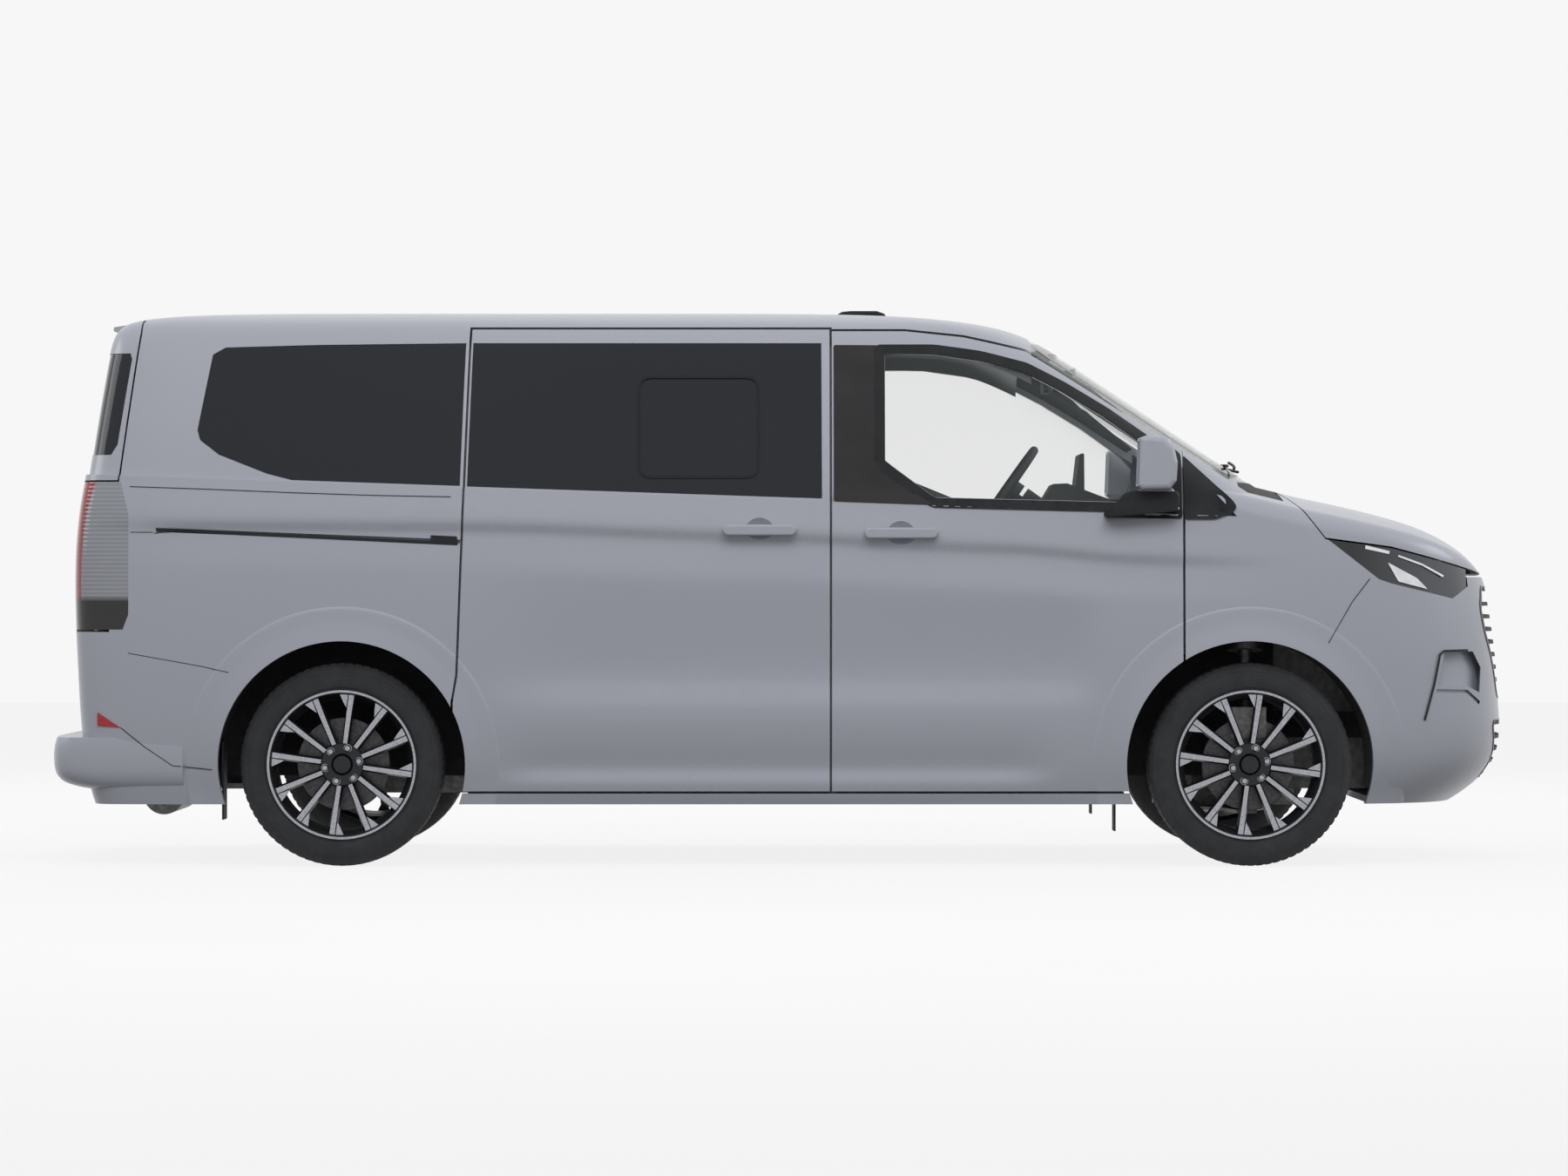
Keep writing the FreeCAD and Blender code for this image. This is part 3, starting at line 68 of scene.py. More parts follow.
def turned(steps):
    """Equal steps round a circle."""
    return [2 * math.pi * k / steps for k in range(steps)]


# Materials

def linear(colour, gain=1.0):
    """A linear colour from 0 to 255 display values, made brighter by a gain."""
    def channel(value):
        share = value / 255
        return share / 12.92 if share <= 0.04045 else ((share + 0.055) / 1.055) ** 2.4
    return tuple(channel(value) * gain for value in colour) + (1.0,)


def add_node(tree, kind, inputs):
    """A new node whose inputs, by name or number, take a value or another node's output."""
    node = tree.nodes.new("ShaderNode" + kind)
    for key, value in inputs.items():
        if isinstance(value, bpy.types.NodeSocket):
            tree.links.new(value, node.inputs[key])
        else:
            node.inputs[key].default_value = value
    return node


class Finish:
    """A node material made of a principled shader and procedural detail."""

    def __init__(self, name, **values):
        self.material = bpy.data.materials.new(name)
        self.material.use_nodes = True
        self.tree = self.material.node_tree
        self.shader = self.tree.nodes["Principled BSDF"]
        self.position = self.node("TexCoord", {}).outputs["Object"]
        self.normal = None
        for key, value in values.items():
            socket = key.replace("_", " ").title().replace("Ior", "IOR")
            self.shader.inputs[socket].default_value = value

    def node(self, kind, inputs):
        return add_node(self.tree, kind, inputs)

    def feed(self, socket, output):
        self.tree.links.new(output, self.shader.inputs[socket])

    def noise(self, scale, detail):
        return self.node("TexNoise", {"Vector": self.position, "Scale": scale, "Detail": detail}).outputs["Fac"]

    def cells(self, scale):
        return self.node("TexVoronoi", {"Vector": self.position, "Scale": scale}).outputs["Distance"]

    def waves(self, scale, direction, distortion=0.0):
        texture = self.node("TexWave", {"Vector": self.position, "Scale": scale, "Distortion": distortion})
        texture.bands_direction = direction
        return texture.outputs["Fac"]

    def axis(self, letter):
        return self.node("SeparateXYZ", {"Vector": self.position}).outputs[letter]

    def risen(self, output, start, end):
        """Nought up to the start and one from the end on."""
        return self.node("MapRange", {"Value": output, "From Min": start, "From Max": end}).outputs["Result"]

    def spread(self, output, low, high):
        """A share between nought and one, carried to the range from low to high."""
        return self.node("MapRange", {"Value": output, "To Min": low, "To Max": high}).outputs["Result"]

    def ramp(self, factor, first, second, low, high, gain=1.0):
        """From the first colour up to low to the second from high on, which the gain makes brighter."""
        ramp = self.node("ValToRGB", {"Fac": factor})
        stops = (low, linear(first)), (high, linear(second, gain))
        for element, (position, colour) in zip(ramp.color_ramp.elements, stops):
            element.position = position
            element.color = colour
        return ramp.outputs["Color"]

    def coloured(self, factor, first, second, low=0.35, high=0.65, gain=1.0):
        self.feed("Base Color", self.ramp(factor, first, second, low, high, gain))

    def roughened(self, factor, low, high):
        self.feed("Roughness", self.spread(factor, low, high))

    def bumped(self, factor, distance, strength=1.0):
        """Adds relief to what there is, and gives the material."""
        inputs = {"Height": factor, "Distance": distance, "Strength": strength}
        if self.normal:
            inputs["Normal"] = self.normal
        self.normal = self.node("Bump", inputs).outputs["Normal"]
        self.feed("Normal", self.normal)
        return self.material


def paint_finish():
    """Metallic body paint: fine flakes and a faint orange peel under a clear coat."""
    finish = Finish("body_paint", metallic=0.15, roughness=0.42, specular_ior_level=0.3, coat_weight=0.3,
                    coat_roughness=0.08)
    finish.coloured(finish.cells(1400), (159, 162, 171), (167, 170, 180), 0.2, 0.8)
    return finish.bumped(finish.noise(160, 1), 0.00012, 0.4)


def plastic_finish(name, colour, paler, grain, depth, roughness):
    """Moulded plastic with a fine leather-like grain."""
    finish = Finish(name, roughness=roughness, specular_ior_level=0.3)
    finish.coloured(finish.noise(9, 4), colour, paler)
    finish.roughened(finish.noise(40, 3), roughness - 0.08, roughness + 0.08)
    return finish.bumped(finish.cells(grain), depth)


def privacy_glass_finish():
    """Dark glass that lets next to nothing through."""
    finish = Finish("privacy_glass", roughness=0.02, alpha=0.96, specular_ior_level=0.3)
    finish.coloured(finish.noise(1.5, 1), (28, 32, 39), (28, 32, 39), gain=1.08)
    finish.material.surface_render_method = "BLENDED"
    return finish.bumped(finish.noise(5, 1), 0.00002)


def clear_glass_finish():
    """Window glass: nearly clear when faced, and shining more the flatter it is seen."""
    finish = Finish("clear_glass", roughness=0.02)
    finish.coloured(finish.noise(1.5, 1), (150, 160, 158), (158, 168, 166))
    facing = finish.node("LayerWeight", {"Blend": 0.2}).outputs["Facing"]
    finish.feed("Alpha", finish.spread(facing, 0.05, 0.5))
    finish.material.surface_render_method = "BLENDED"
    return finish.bumped(finish.noise(5, 1), 0.00002)


def metal_finish(name, colour, paler, roughness, scale=60, depth=0.0001, metallic=1.0):
    finish = Finish(name, metallic=metallic, roughness=roughness)
    finish.coloured(finish.noise(scale, 5), colour, paler)
    finish.roughened(finish.noise(scale * 2, 3), roughness - 0.07, roughness + 0.1)
    return finish.bumped(finish.noise(scale * 3, 3), depth)


def rubber_finish():
    finish = Finish("tyre_rubber", roughness=0.72)
    finish.coloured(finish.noise(12, 5), (26, 27, 29), (38, 39, 42))
    finish.roughened(finish.noise(35, 4), 0.62, 0.82)
    return finish.bumped(finish.noise(420, 2), 0.00015)


def fabric_finish(name, colour, paler):
    """Woven seat cloth: crossing yarns with a soft sheen."""
    finish = Finish(name, roughness=0.85, sheen_weight=0.35, sheen_roughness=0.5)
    finish.coloured(finish.noise(300, 3), colour, paler)
    for direction in "XZ":
        finish.bumped(finish.waves(240, direction, 0.6), 0.0005, 0.5)
    return finish.material


def red_lens_finish():
    finish = Finish("red_lens", roughness=0.05, ior=1.5)
    finish.coloured(finish.noise(4, 2), (186, 12, 18), (186, 12, 18), gain=1.1)
    finish.material.surface_render_method = "BLENDED"
    return finish.bumped(finish.waves(90, "Z"), 0.001)


HEAD_LENS_X = (1.9, 2.3)


def head_lens_finish():
    """A lamp cover: dark at its rear, paler towards the nose."""
    finish = Finish("head_lens", roughness=0.05, ior=1.5)
    forward = finish.risen(finish.axis("X"), *HEAD_LENS_X)
    finish.coloured(forward, (34, 35, 38), (82, 85, 90), 0.1, 0.8)
    return finish.bumped(finish.noise(6, 1), 0.00004)


# Where the tail lens turns from red to clear, outward, and from black to its own colours, upward
TAIL_LENS_CLEAR = (0.945, 0.955)
TAIL_LENS_FOOT = (0.905, 0.925)


def tail_lens_finish():
    """A ribbed lens: clear on the side, red towards the back, black below."""
    finish = Finish("ribbed_tail_lens", roughness=0.06, ior=1.5)
    outward = finish.node("Math", {0: finish.axis("Y")})
    outward.operation = "ABSOLUTE"
    beside = finish.risen(outward.outputs[0], *TAIL_LENS_CLEAR)
    above = finish.risen(finish.axis("Z"), *TAIL_LENS_FOOT)
    lens = finish.ramp(beside, (150, 12, 18), (146, 149, 156), 0.2, 0.8)
    mix = finish.node("MixRGB", {"Fac": above, "Color1": linear((24, 25, 27)), "Color2": lens})
    finish.feed("Base Color", mix.outputs["Color"])
    return finish.bumped(finish.waves(22, "Z"), 0.0008)


FINISHES = {
    "paint": paint_finish(),
    "underbody": plastic_finish("underbody_coat", (46, 47, 50), (60, 61, 64), 180, 0.0006, 0.75),
    "clear_glass": clear_glass_finish(),
    "dark_glass": privacy_glass_finish(),
    "black_plastic": plastic_finish("black_plastic", (26, 27, 29), (34, 35, 38), 900, 0.00025, 0.6),
    "trim_plastic": plastic_finish("cabin_plastic", (48, 49, 53), (58, 59, 63), 700, 0.0003, 0.62),
    "gloss_black": plastic_finish("gloss_black", (14, 15, 17), (19, 20, 22), 60, 0.00003, 0.14),
    "pillar_trim": plastic_finish("pillar_trim", (34, 32, 34), (40, 38, 40), 1200, 0.00008, 0.4),
    "joint": plastic_finish("joint_shadow", (40, 41, 44), (48, 49, 52), 300, 0.0001, 0.7),
    "seat_fabric": fabric_finish("seat_cloth", (46, 47, 51), (70, 71, 76)),
    "seat_bolster": fabric_finish("seat_bolster_cloth", (28, 29, 32), (44, 45, 49)),
    "headliner": fabric_finish("headliner_cloth", (74, 75, 78), (86, 87, 90)),
    "steel": metal_finish("dull_steel", (92, 92, 94), (120, 119, 117), 0.5),
    "engine": metal_finish("cast_metal", (98, 98, 100), (124, 124, 126), 0.55, 40, 0.0006, 0.8),
    "chrome": metal_finish("bright_reflector", (214, 216, 220), (228, 230, 234), 0.12, 20, 0.00002),
    "mirror_glass": metal_finish("mirror_silver", (196, 200, 204), (204, 208, 212), 0.03, 4, 0.000002),
    "lamp_bright": metal_finish("lamp_reflector_silver", (216, 218, 222), (232, 234, 238), 0.3, 30,
                                0.00005, 0.5),
    "lamp_clear": head_lens_finish(),
    "lamp_red": red_lens_finish(),
    "tail_lens": tail_lens_finish(),
    "tyre": rubber_finish(),
    "rim": metal_finish("wheel_grey", (28, 29, 32), (36, 37, 40), 0.42, 80, 0.00005, 0.4),
    "rim_face": metal_finish("machined_face", (146, 148, 154), (172, 174, 180), 0.22, 200, 0.00002),
    "disc": metal_finish("brake_disc", (66, 66, 68), (82, 82, 84), 0.38, 90, 0.00006),
}


# Meshes

def linked(name, data):
    obj = bpy.data.objects.new(name, data)
    bpy.context.scene.collection.objects.link(obj)
    return obj


def piece(name, vertices, faces, finishes, body="body", crease=35, marks=None):
    """A mesh piece that rides on a body. marks gives each face's index into finishes."""
    keys = (finishes,) if isinstance(finishes, str) else finishes
    mesh = bpy.data.meshes.new(name)
    mesh.from_pydata([tuple(v) for v in vertices], [], faces)
    for key in keys:
        mesh.materials.append(FINISHES[key])
    if marks:
        mesh.polygons.foreach_set("material_index", marks)
    mesh.validate()
    mesh.shade_smooth()
    mesh.set_sharp_from_angle(angle=math.radians(crease))
    obj = linked(name, mesh)
    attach(obj, body)
    return obj


def tidy_normals(obj):
    """Drops loose points and turns every face outward."""
    work = bmesh.new()
    work.from_mesh(obj.data)
    loose = [v for v in work.verts if not v.link_faces]
    bmesh.ops.delete(work, geom=loose, context="VERTS")
    bmesh.ops.recalc_face_normals(work, faces=work.faces)
    work.to_mesh(obj.data)
    work.free()


class Build:
    """Gathers the faces of one piece."""

    def __init__(self):
        self.vertices = []
        self.faces = []
        self.marks = []

    def strip(self, rings, closed=True, mark=0, capped=False):
        """Quads between rings of points that all have the same count. mark may be one for each side."""
        count = len(rings[0])
        start = len(self.vertices)
        marks = mark if isinstance(mark, tuple) else (mark,) * count
        for ring in rings:
            self.vertices += ring
        for k in range(len(rings) - 1):
            for i in range(count if closed else count - 1):
                a, b = start + k * count + i, start + k * count + (i + 1) % count
                self.faces.append((a, b, b + count, a + count))
                self.marks.append(marks[i])
        if capped:
            last = start + (len(rings) - 1) * count
            self.faces += [tuple(range(start + count - 1, start - 1, -1)), tuple(range(last, last + count))]
            self.marks += [marks[0]] * 2
        return self

    def prism(self, front, back):
        """A block between two outlines with the same count of points. Its front takes the second finish."""
        count, start = len(front), len(self.vertices)
        self.vertices += front + back
        self.faces.append(tuple(range(start, start + count)))
        self.faces.append(tuple(range(start + 2 * count - 1, start + count - 1, -1)))
        for i in range(count):
            a, b = start + i, start + (i + 1) % count
            self.faces.append((b, a, a + count, b + count))
        self.marks += [1] + [0] * (count + 1)

    def made(self, name, finishes, body="body", **options):
        return piece(name, self.vertices, self.faces, finishes, body, marks=self.marks, **options)


def on_wheel(centre, side, y, radius, angle):
    """A point from its depth towards the outer face, radius and angle from the top."""
    return centre + Vector((radius * math.sin(angle), side * y, radius * math.cos(angle)))


def revolved(build, centre, side, profile, steps=96, marks=None):
    """A surface of revolution about the wheel's axis, from depth and radius pairs. marks has one for each band."""
    rings = [[on_wheel(centre, side, y, r, angle) for angle in turned(steps)] for y, r in profile]
    for k in range(len(rings) - 1):
        build.strip(rings[k:k + 2], mark=marks[k] if marks else 0)


# Tyres

TREAD_RADIUS = 0.3468
TREAD_PITCHES = 72
STEPS_PER_PITCH = 4
GROOVE_DEPTH = 0.006
CROSS_CUT_DEPTH = GROOVE_DEPTH * 0.8
CROSS_CUT_LEAN = 0.5
CROSS_CUTS_FROM = 0.056
SHOULDER_FROM = 0.06
SHOULDER_DROP = 0.18
TYRE_PROFILE = mm(
    (80, 243.8), (92, 244.2), (100.5, 247.5), (103.5, 252), (105.5, 258.5), (106, 262), (108.2, 263.2),
    (110.5, 268), (113.5, 280), (115, 291), (115, 297), (113.8, 306), (114.2, 306.8), (112.8, 312.5), (111.2, 317),
    (112, 317.8), (108.5, 327.5), (103.5, 335), (98.5, 339.5))
# Depth, and whether the tread is grooved there
TREAD_RIBS = ((0.092, 0), (0.072, 0), (0.069, 1), (0.060, 1), (0.057, 0), (0.026, 0), (0.023, 1), (0.014, 1),
              (0.011, 0))


def tread_point(y, grooved):
    """Depth, radius and whether cross cuts run there."""
    drop = SHOULDER_DROP * y ** 2 if y >= SHOULDER_FROM else 0.0
    return y, TREAD_RADIUS - drop - GROOVE_DEPTH * grooved, y > CROSS_CUTS_FROM and not grooved


def tyre_piece(label, centre, side):
    """A road tyre with grooved ribs, cross cuts in the outer ribs and a ringed side wall."""
    half = [(y, r, False) for y, r in TYRE_PROFILE] + [tread_point(y, grooved) for y, grooved in TREAD_RIBS]
    profile = half + [(-y, r, cross) for y, r, cross in reversed(half)]
    rings = []
    for k, angle in enumerate(turned(TREAD_PITCHES * STEPS_PER_PITCH)):
        cut = k % STEPS_PER_PITCH == 0
        ring = []
        for y, r, cross in profile:
            lean = CROSS_CUT_LEAN * y if cross else 0.0
            depth = CROSS_CUT_DEPTH if cut and cross else 0.0
            ring.append(on_wheel(centre, side, y, r - depth, angle + lean))
        rings.append(ring)
    rings.append(rings[0])
    tyre = Build().strip(rings, closed=False).made("tread_tyre_" + label, "tyre", "wheel_" + label, crease=30)
    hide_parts("tyre_" + label)


# Wheels. Profiles are pairs of depth and radius

SPOKES = 12
SPOKE_START = math.radians(8)
SPOKE_RADII = (0.073, 0.090, 0.115, 0.150, 0.190, 0.222, 0.2405)
SPOKE_HALF_WIDTH = 0.0068
SPOKE_WIDENING = 0.0025
SPOKE_END = 0.24
SPOKE_EDGE = 0.001
SPOKE_EDGE_DROP = 0.003
SPOKE_FLANK = 0.006
SPOKE_DEPTH = 0.036
FACE_AT_HUB = 0.079
FACE_AT_RIM = 0.094
FACE_CROWN = 0.006
# Across the spoke and radius
BLADE_CORNERS = mm((-12.5, 196), (-12.5, 241.5), (-31, 239.5), (-40, 237.5), (-24, 212))
BLADE_SINK = 0.001
BLADE_DEPTH = 0.032
BLADE_TAPER = 0.97
BARREL_STEPS = 144
BARREL = mm(
    (92.5, 244), (101, 245.2), (107.5, 250), (109.5, 255.5), (111, 254.5), (111.2, 252), (108.5, 246.5), (103, 242),
    (96, 240), (90, 238.5), (60, 226), (0, 221), (-60, 229), (-92, 238.5), (-102, 246), (-109, 253), (-106, 255),
    (-92.5, 244), (-70, 241), (30, 230), (92.5, 244))
MACHINED_BANDS = (4, 5)
HUB = mm((56, 78), (70, 76.5), (76.5, 70), (78, 38), (74, 33), (70, 31.5), (56, 31))
HUB_CAP = mm((70, 31), (80, 30.8), (83, 29), (84.5, 24), (85, 12), (85.2, 0))
LUGS = 6
LUG_CIRCLE = 0.059
LUG_START = math.radians(19)
# Profile and number of sides of a nut's seat, hexagon and dome
LUG_PARTS = (
    (mm((70, 13.5), (77.2, 13.5), (77.5, 12)), 24),
    (mm((77.2, 10.5), (88, 10.2)), 6),
    (mm((88, 9.6), (91.5, 8.2), (93.5, 5), (94, 0)), 24))
BRAKE_DISC = mm(
    (56, 70), (4, 76), (2, 80), (2, 157.5), (1, 159), (-6, 159), (-6.2, 154), (-14, 154), (-14.2, 159), (-21, 159),
    (-22, 157.5), (-22, 80))


def face_depth(r):
    """How far out the spoke faces stand at a radius: dished at the hub, with a slight crown."""
    share = (r - SPOKE_RADII[0]) / (SPOKE_RADII[-1] - SPOKE_RADII[0])
    return FACE_AT_HUB + (FACE_AT_RIM - FACE_AT_HUB) * share + FACE_CROWN * math.sin(math.pi * share)


def by_spoke(centre, side, angle, r, across, y):
    """A point at a radius along a spoke's line, moved across it."""
    radial = Vector((math.sin(angle), 0, math.cos(angle)))
    tangent = Vector((math.cos(angle), 0, -math.sin(angle)))
    return centre + radial * r + tangent * across + Vector((0, side * y, 0))


def add_spoke(build, centre, side, angle):
    rings = []
    for r in SPOKE_RADII:
        half = SPOKE_HALF_WIDTH + SPOKE_WIDENING * (r / SPOKE_END) ** 2
        y = face_depth(r)
        right = ((half, y), (half + SPOKE_EDGE, y - SPOKE_EDGE_DROP), (half + SPOKE_FLANK, y - SPOKE_DEPTH))
        section = tuple((-across, depth) for across, depth in reversed(right)) + right
        rings.append([by_spoke(centre, side, angle, r, across, depth) for across, depth in section])
    build.strip(rings, mark=(0, 0, 1, 0, 0, 0), capped=True)


def add_blade(build, centre, side, angle):
    """The triangular blade at a spoke's outer end, set apart by a narrow groove."""
    def face(width, sink):
        return [by_spoke(centre, side, angle, r, -side * across * width, face_depth(r) - sink)
                for across, r in BLADE_CORNERS]

    build.prism(face(1, BLADE_SINK), face(BLADE_TAPER, BLADE_DEPTH))


def rim_piece(label, centre, side):
    """A cast wheel: dark barrel and pockets, with machined faces on its lip, spokes and blades."""
    build = Build()
    marks = [1 if band in MACHINED_BANDS else 0 for band in range(len(BARREL) - 1)]
    revolved(build, centre, side, BARREL, BARREL_STEPS, marks)
    revolved(build, centre, side, HUB)
    revolved(build, centre, side, HUB_CAP)
    for turn in turned(SPOKES):
        for add in (add_spoke, add_blade):
            add(build, centre, side, -side * (SPOKE_START + turn))
    rim = build.made("cast_rim_" + label, ("rim", "rim_face"), "wheel_" + label)
    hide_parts("rim_" + label)


def lug_piece(label, centre, side):
    """Six wheel nuts with domed heads."""
    build = Build()
    for turn in turned(LUGS):
        spot = on_wheel(centre, side, 0, LUG_CIRCLE, -side * (LUG_START + turn))
        for profile, steps in LUG_PARTS:
            revolved(build, spot, side, profile, steps)
    build.made("wheel_nuts_" + label, "rim_face", "wheel_" + label, crease=25)


def disc_piece(label, centre, side):
    """A vented brake disc with its hat."""
    build = Build()
    revolved(build, centre, side, BRAKE_DISC)
    build.made("brake_disc_" + label, "disc", "wheel_" + label)


def wheel_pieces(name, side):
    for end, x in AXLES_X.items():
        for make in (tyre_piece, rim_piece, lug_piece, disc_piece):
            make(end + "_" + name, Vector((x, side * WHEEL_Y, AXLE_Z)), side)


# Trim that lies on the skin

OUTER_NODES = ("body_side_{}", "door_{}", "sliding_door_{}", "wing_{}", "front_bumper", "rear_bumper", "side_glass",
               "door_glass_{}", "headlamps", "tail_lamps", "roof", "bonnet_panel", "windscreen", "tailgate_panel",
               "tailgate_glass", "cowl", "grille")


def tree_of(nodes):
    """A tree for rays against the meshes of CAD nodes."""
    vertices, faces = [], []
    for node in nodes:
        mesh = frame["nodes"][node].data
        start = len(vertices)
        vertices += [v.co.copy() for v in mesh.vertices]
        faces += [tuple(start + i for i in polygon.vertices) for polygon in mesh.polygons]
    return BVHTree.FromPolygons(vertices, faces)


SKINS = {sign: tree_of([node.format(name) for node in OUTER_NODES]) for name, sign in SIDES}
SCREEN = tree_of(["windscreen"])
FAR_BESIDE = 3.0
FAR_AHEAD = 6.0
LEAST_HALF_WIDTH = 0.6
PROBES = ((0, 0), (1, 0), (-1, 0), (0, 1), (0, -1))
PROBE_REACHES = (0.011, 0.025, 0.05)


def side_skin(side, x, z, proud):
    """The point of the vehicle's side at X and Z, moved outward. Probes beside it bridge the panel gaps."""
    for reach in PROBE_REACHES:
        depths = []
        for dx, dz in PROBES:
            start = Vector((x + dx * reach, side * FAR_BESIDE, z + dz * reach))
            hit = SKINS[side].ray_cast(start, Vector((0, -side, 0)))[0]
            if hit:
                depths.append(side * hit.y)
        if depths and max(depths) > LEAST_HALF_WIDTH:
            return Vector((x, side * (max(depths) + proud), z))
    return Vector((x, side * (LEAST_HALF_WIDTH + proud), z))


def screen_skin(y, z, proud):
    """The windscreen's outer face at Y and Z, moved outward."""
    hit, normal = SCREEN.ray_cast(Vector((FAR_AHEAD, y, z)), Vector((-1, 0, 0)))[:2]
    return hit + normal * proud if hit else None


def end_skin(y, z, proud, direction):
    """The point of the nose, with direction -1, or of the tail, with direction 1, at Y and Z."""
    hit = SKINS[1].ray_cast(Vector((-direction * FAR_AHEAD, y, z)), Vector((direction, 0, 0)))[0]
    return Vector((hit.x - direction * proud, y, z)) if hit else Vector((0, y, z))


def on_plane(x, side, y, z, proud):
    """A point of the upright plane at X, moved back."""
    return Vector((x - proud, side * y, z))


def inside(point, outline):
    """Whether a point lies within an outline."""
    x, z = point
    odd = False
    for i in range(len(outline)):
        (x0, z0), (x1, z1) = outline[i - 1], outline[i]
        if (z0 > z) != (z1 > z) and x < (x1 - x0) * (z - z0) / (z1 - z0) + x0:
            odd = not odd
    return odd


def divided_line(points, step):
    """A line with its long stretches cut to about step."""
    line = []
    for a, b in zip(points, points[1:]):
        a, b = Vector(a), Vector(b)
        count = max(1, round((b - a).length / step))
        line += [a + (b - a) * k / count for k in range(count)]
    return line + [Vector(points[-1])]


def divided(outline, step):
    return divided_line([outline[-1], *outline], step)[:-1]


ARC_STEPS = 5
LONGEST_REACH = 0.45


def rounded(outline, radius):
    """An outline whose corners are drawn as arcs."""
    points = []
    count = len(outline)
    for i in range(count):
        before, corner, after = Vector(outline[i - 1]), Vector(outline[i]), Vector(outline[(i + 1) % count])
        reach = min(radius, (before - corner).length * LONGEST_REACH, (after - corner).length * LONGEST_REACH)
        start = corner + (before - corner).normalized() * reach
        end = corner + (after - corner).normalized() * reach
        for k in range(ARC_STEPS + 1):
            t = k / ARC_STEPS
            points.append(start * (1 - t) ** 2 + corner * 2 * t * (1 - t) + end * t ** 2)
    return points


def inset(points, width):
    """An outline moved inward, whichever way it runs, or outward by a width below nought."""
    count = len(points)
    turning = sum(points[i - 1][0] * points[i][1] - points[i][0] * points[i - 1][1] for i in range(count))
    shift = width if turning < 0 else -width
    moved = []
    for i in range(count):
        before, spot, after = Vector(points[i - 1]), Vector(points[i]), Vector(points[(i + 1) % count])
        along = (after - before).normalized()
        moved.append(spot + Vector((along.y, -along.x)) * shift)
    return moved


MERGE_DISTANCE = 1e-7


def patch(name, outline, place, thickness, finish, body="body", holes=(), step=0.03):
    """A skin over an outline, carried to the surface by place(x, z, proud), with a rim of its thickness."""
    def covered(spot):
        return inside(spot, outline) and not any(inside(spot, hole) for hole in holes)

    border, edges = [], []
    for loop in (divided(line, step) for line in (outline, *holes)):
        start, count = len(border), len(loop)
        border += loop
        edges += [(start + i, start + (i + 1) % count) for i in range(count)]
    low = [min(p[k] for p in outline) for k in (0, 1)]
    columns, rows = (int((max(p[k] for p in outline) - low[k]) / step) for k in (0, 1))
    points = list(border)
    for i in range(1, columns + 1):
        for j in range(1, rows + 1):
            spot = (low[0] + i * step, low[1] + (j + 0.5 * (i % 2)) * step)
            if covered(spot) and min((Vector(spot) - p).length for p in border) > step * 0.5:
                points.append(Vector(spot))
    flat, _, faces = delaunay_2d_cdt(points, edges, [], 1, MERGE_DISTANCE)[:3]
    kept = [tuple(face) for face in faces if covered(middle_of([flat[i] for i in face]))]
    front = [place(p[0], p[1], thickness) for p in flat]
    back = [place(p[0], p[1], 0.0) for p in flat]
    count = len(flat)
    used = dict.fromkeys((face[i], face[(i + 1) % len(face)]) for face in kept for i in range(len(face)))
    rim = [(b, a, a + count, b + count) for a, b in used if (b, a) not in used]
    tidy_normals(piece(name, front + back, kept + rim, finish, body))


RIBBON_STEP = 0.03
RIBBON_EDGE = 0.9


def ribbon(name, points, side, width, finish="joint", proud=0.0004):
    """A narrow strip along a line on the vehicle's side."""
    line = divided_line(points, RIBBON_STEP)
    rings = []
    for i, spot in enumerate(line):
        along = (line[min(i + 1, len(line) - 1)] - line[max(i - 1, 0)]).normalized()
        across = Vector((-along.y, along.x)) * width / 2
        rings.append([side_skin(side, *(spot + across * edge), lift) for edge, lift in (
            (-1, 0.0), (-RIBBON_EDGE, proud), (RIBBON_EDGE, proud), (1, 0.0))])
    Build().strip(rings, closed=False).made(name, finish)


PILLAR_COVER = mm((170, 1784), (322, 1783), (322, 1376), (348, 1350), (506, 1234), (170, 1246))
SAIL_ON_DOOR = mm(
    (1358, 1186), (1358, 1410), (1312, 1448), (1292, 1412), (1284, 1330), (1256, 1218), (1090, 1214), (1090, 1190))
SAIL_ON_BODY = mm((1365, 1184), (1470, 1184), (1530, 1206), (1545, 1228), (1528, 1252), (1365, 1406))
# Name, outline, corner radius, thickness, finish, and the start of the body's name that the side ends
SIDE_TRIMS = (
    ("pillar_cover_", PILLAR_COVER, 0.008, 0.002, "pillar_trim", "front_door_"),
    ("door_sail_", SAIL_ON_DOOR, 0.012, 0.004, "black_plastic", "front_door_"),
    ("pillar_sail_", SAIL_ON_BODY, 0.012, 0.006, "black_plastic", None))


def side_trims(name, side):
    place = partial(side_skin, side)
    for start, outline, corner, thickness, finish, carrier in SIDE_TRIMS:
        body = carrier + name if carrier else "body"
        patch(start + name, rounded(outline, corner), place, thickness, finish, body)


SLIDER_PANE = mm((-501, 1324), (-83, 1324), (-83, 1677), (-501, 1677))
PANE_CORNER = 0.05
SEAL_WIDTH = 0.009
SEAL_THICKNESS = 0.0025
DOOR_WINDOW = mm(
    (318, 1372), (346, 1350), (504, 1232), (1300, 1212), (1310, 1400), (1262, 1452), (1109, 1560), (960, 1650),
    (832, 1716), (674, 1756), (516, 1778), (318, 1782))
FRAME_OVERLAP = 0.008
FRAME_CORNER = 0.02
FRAME_WIDTH = 0.034
FRAME_THICKNESS = 0.0028


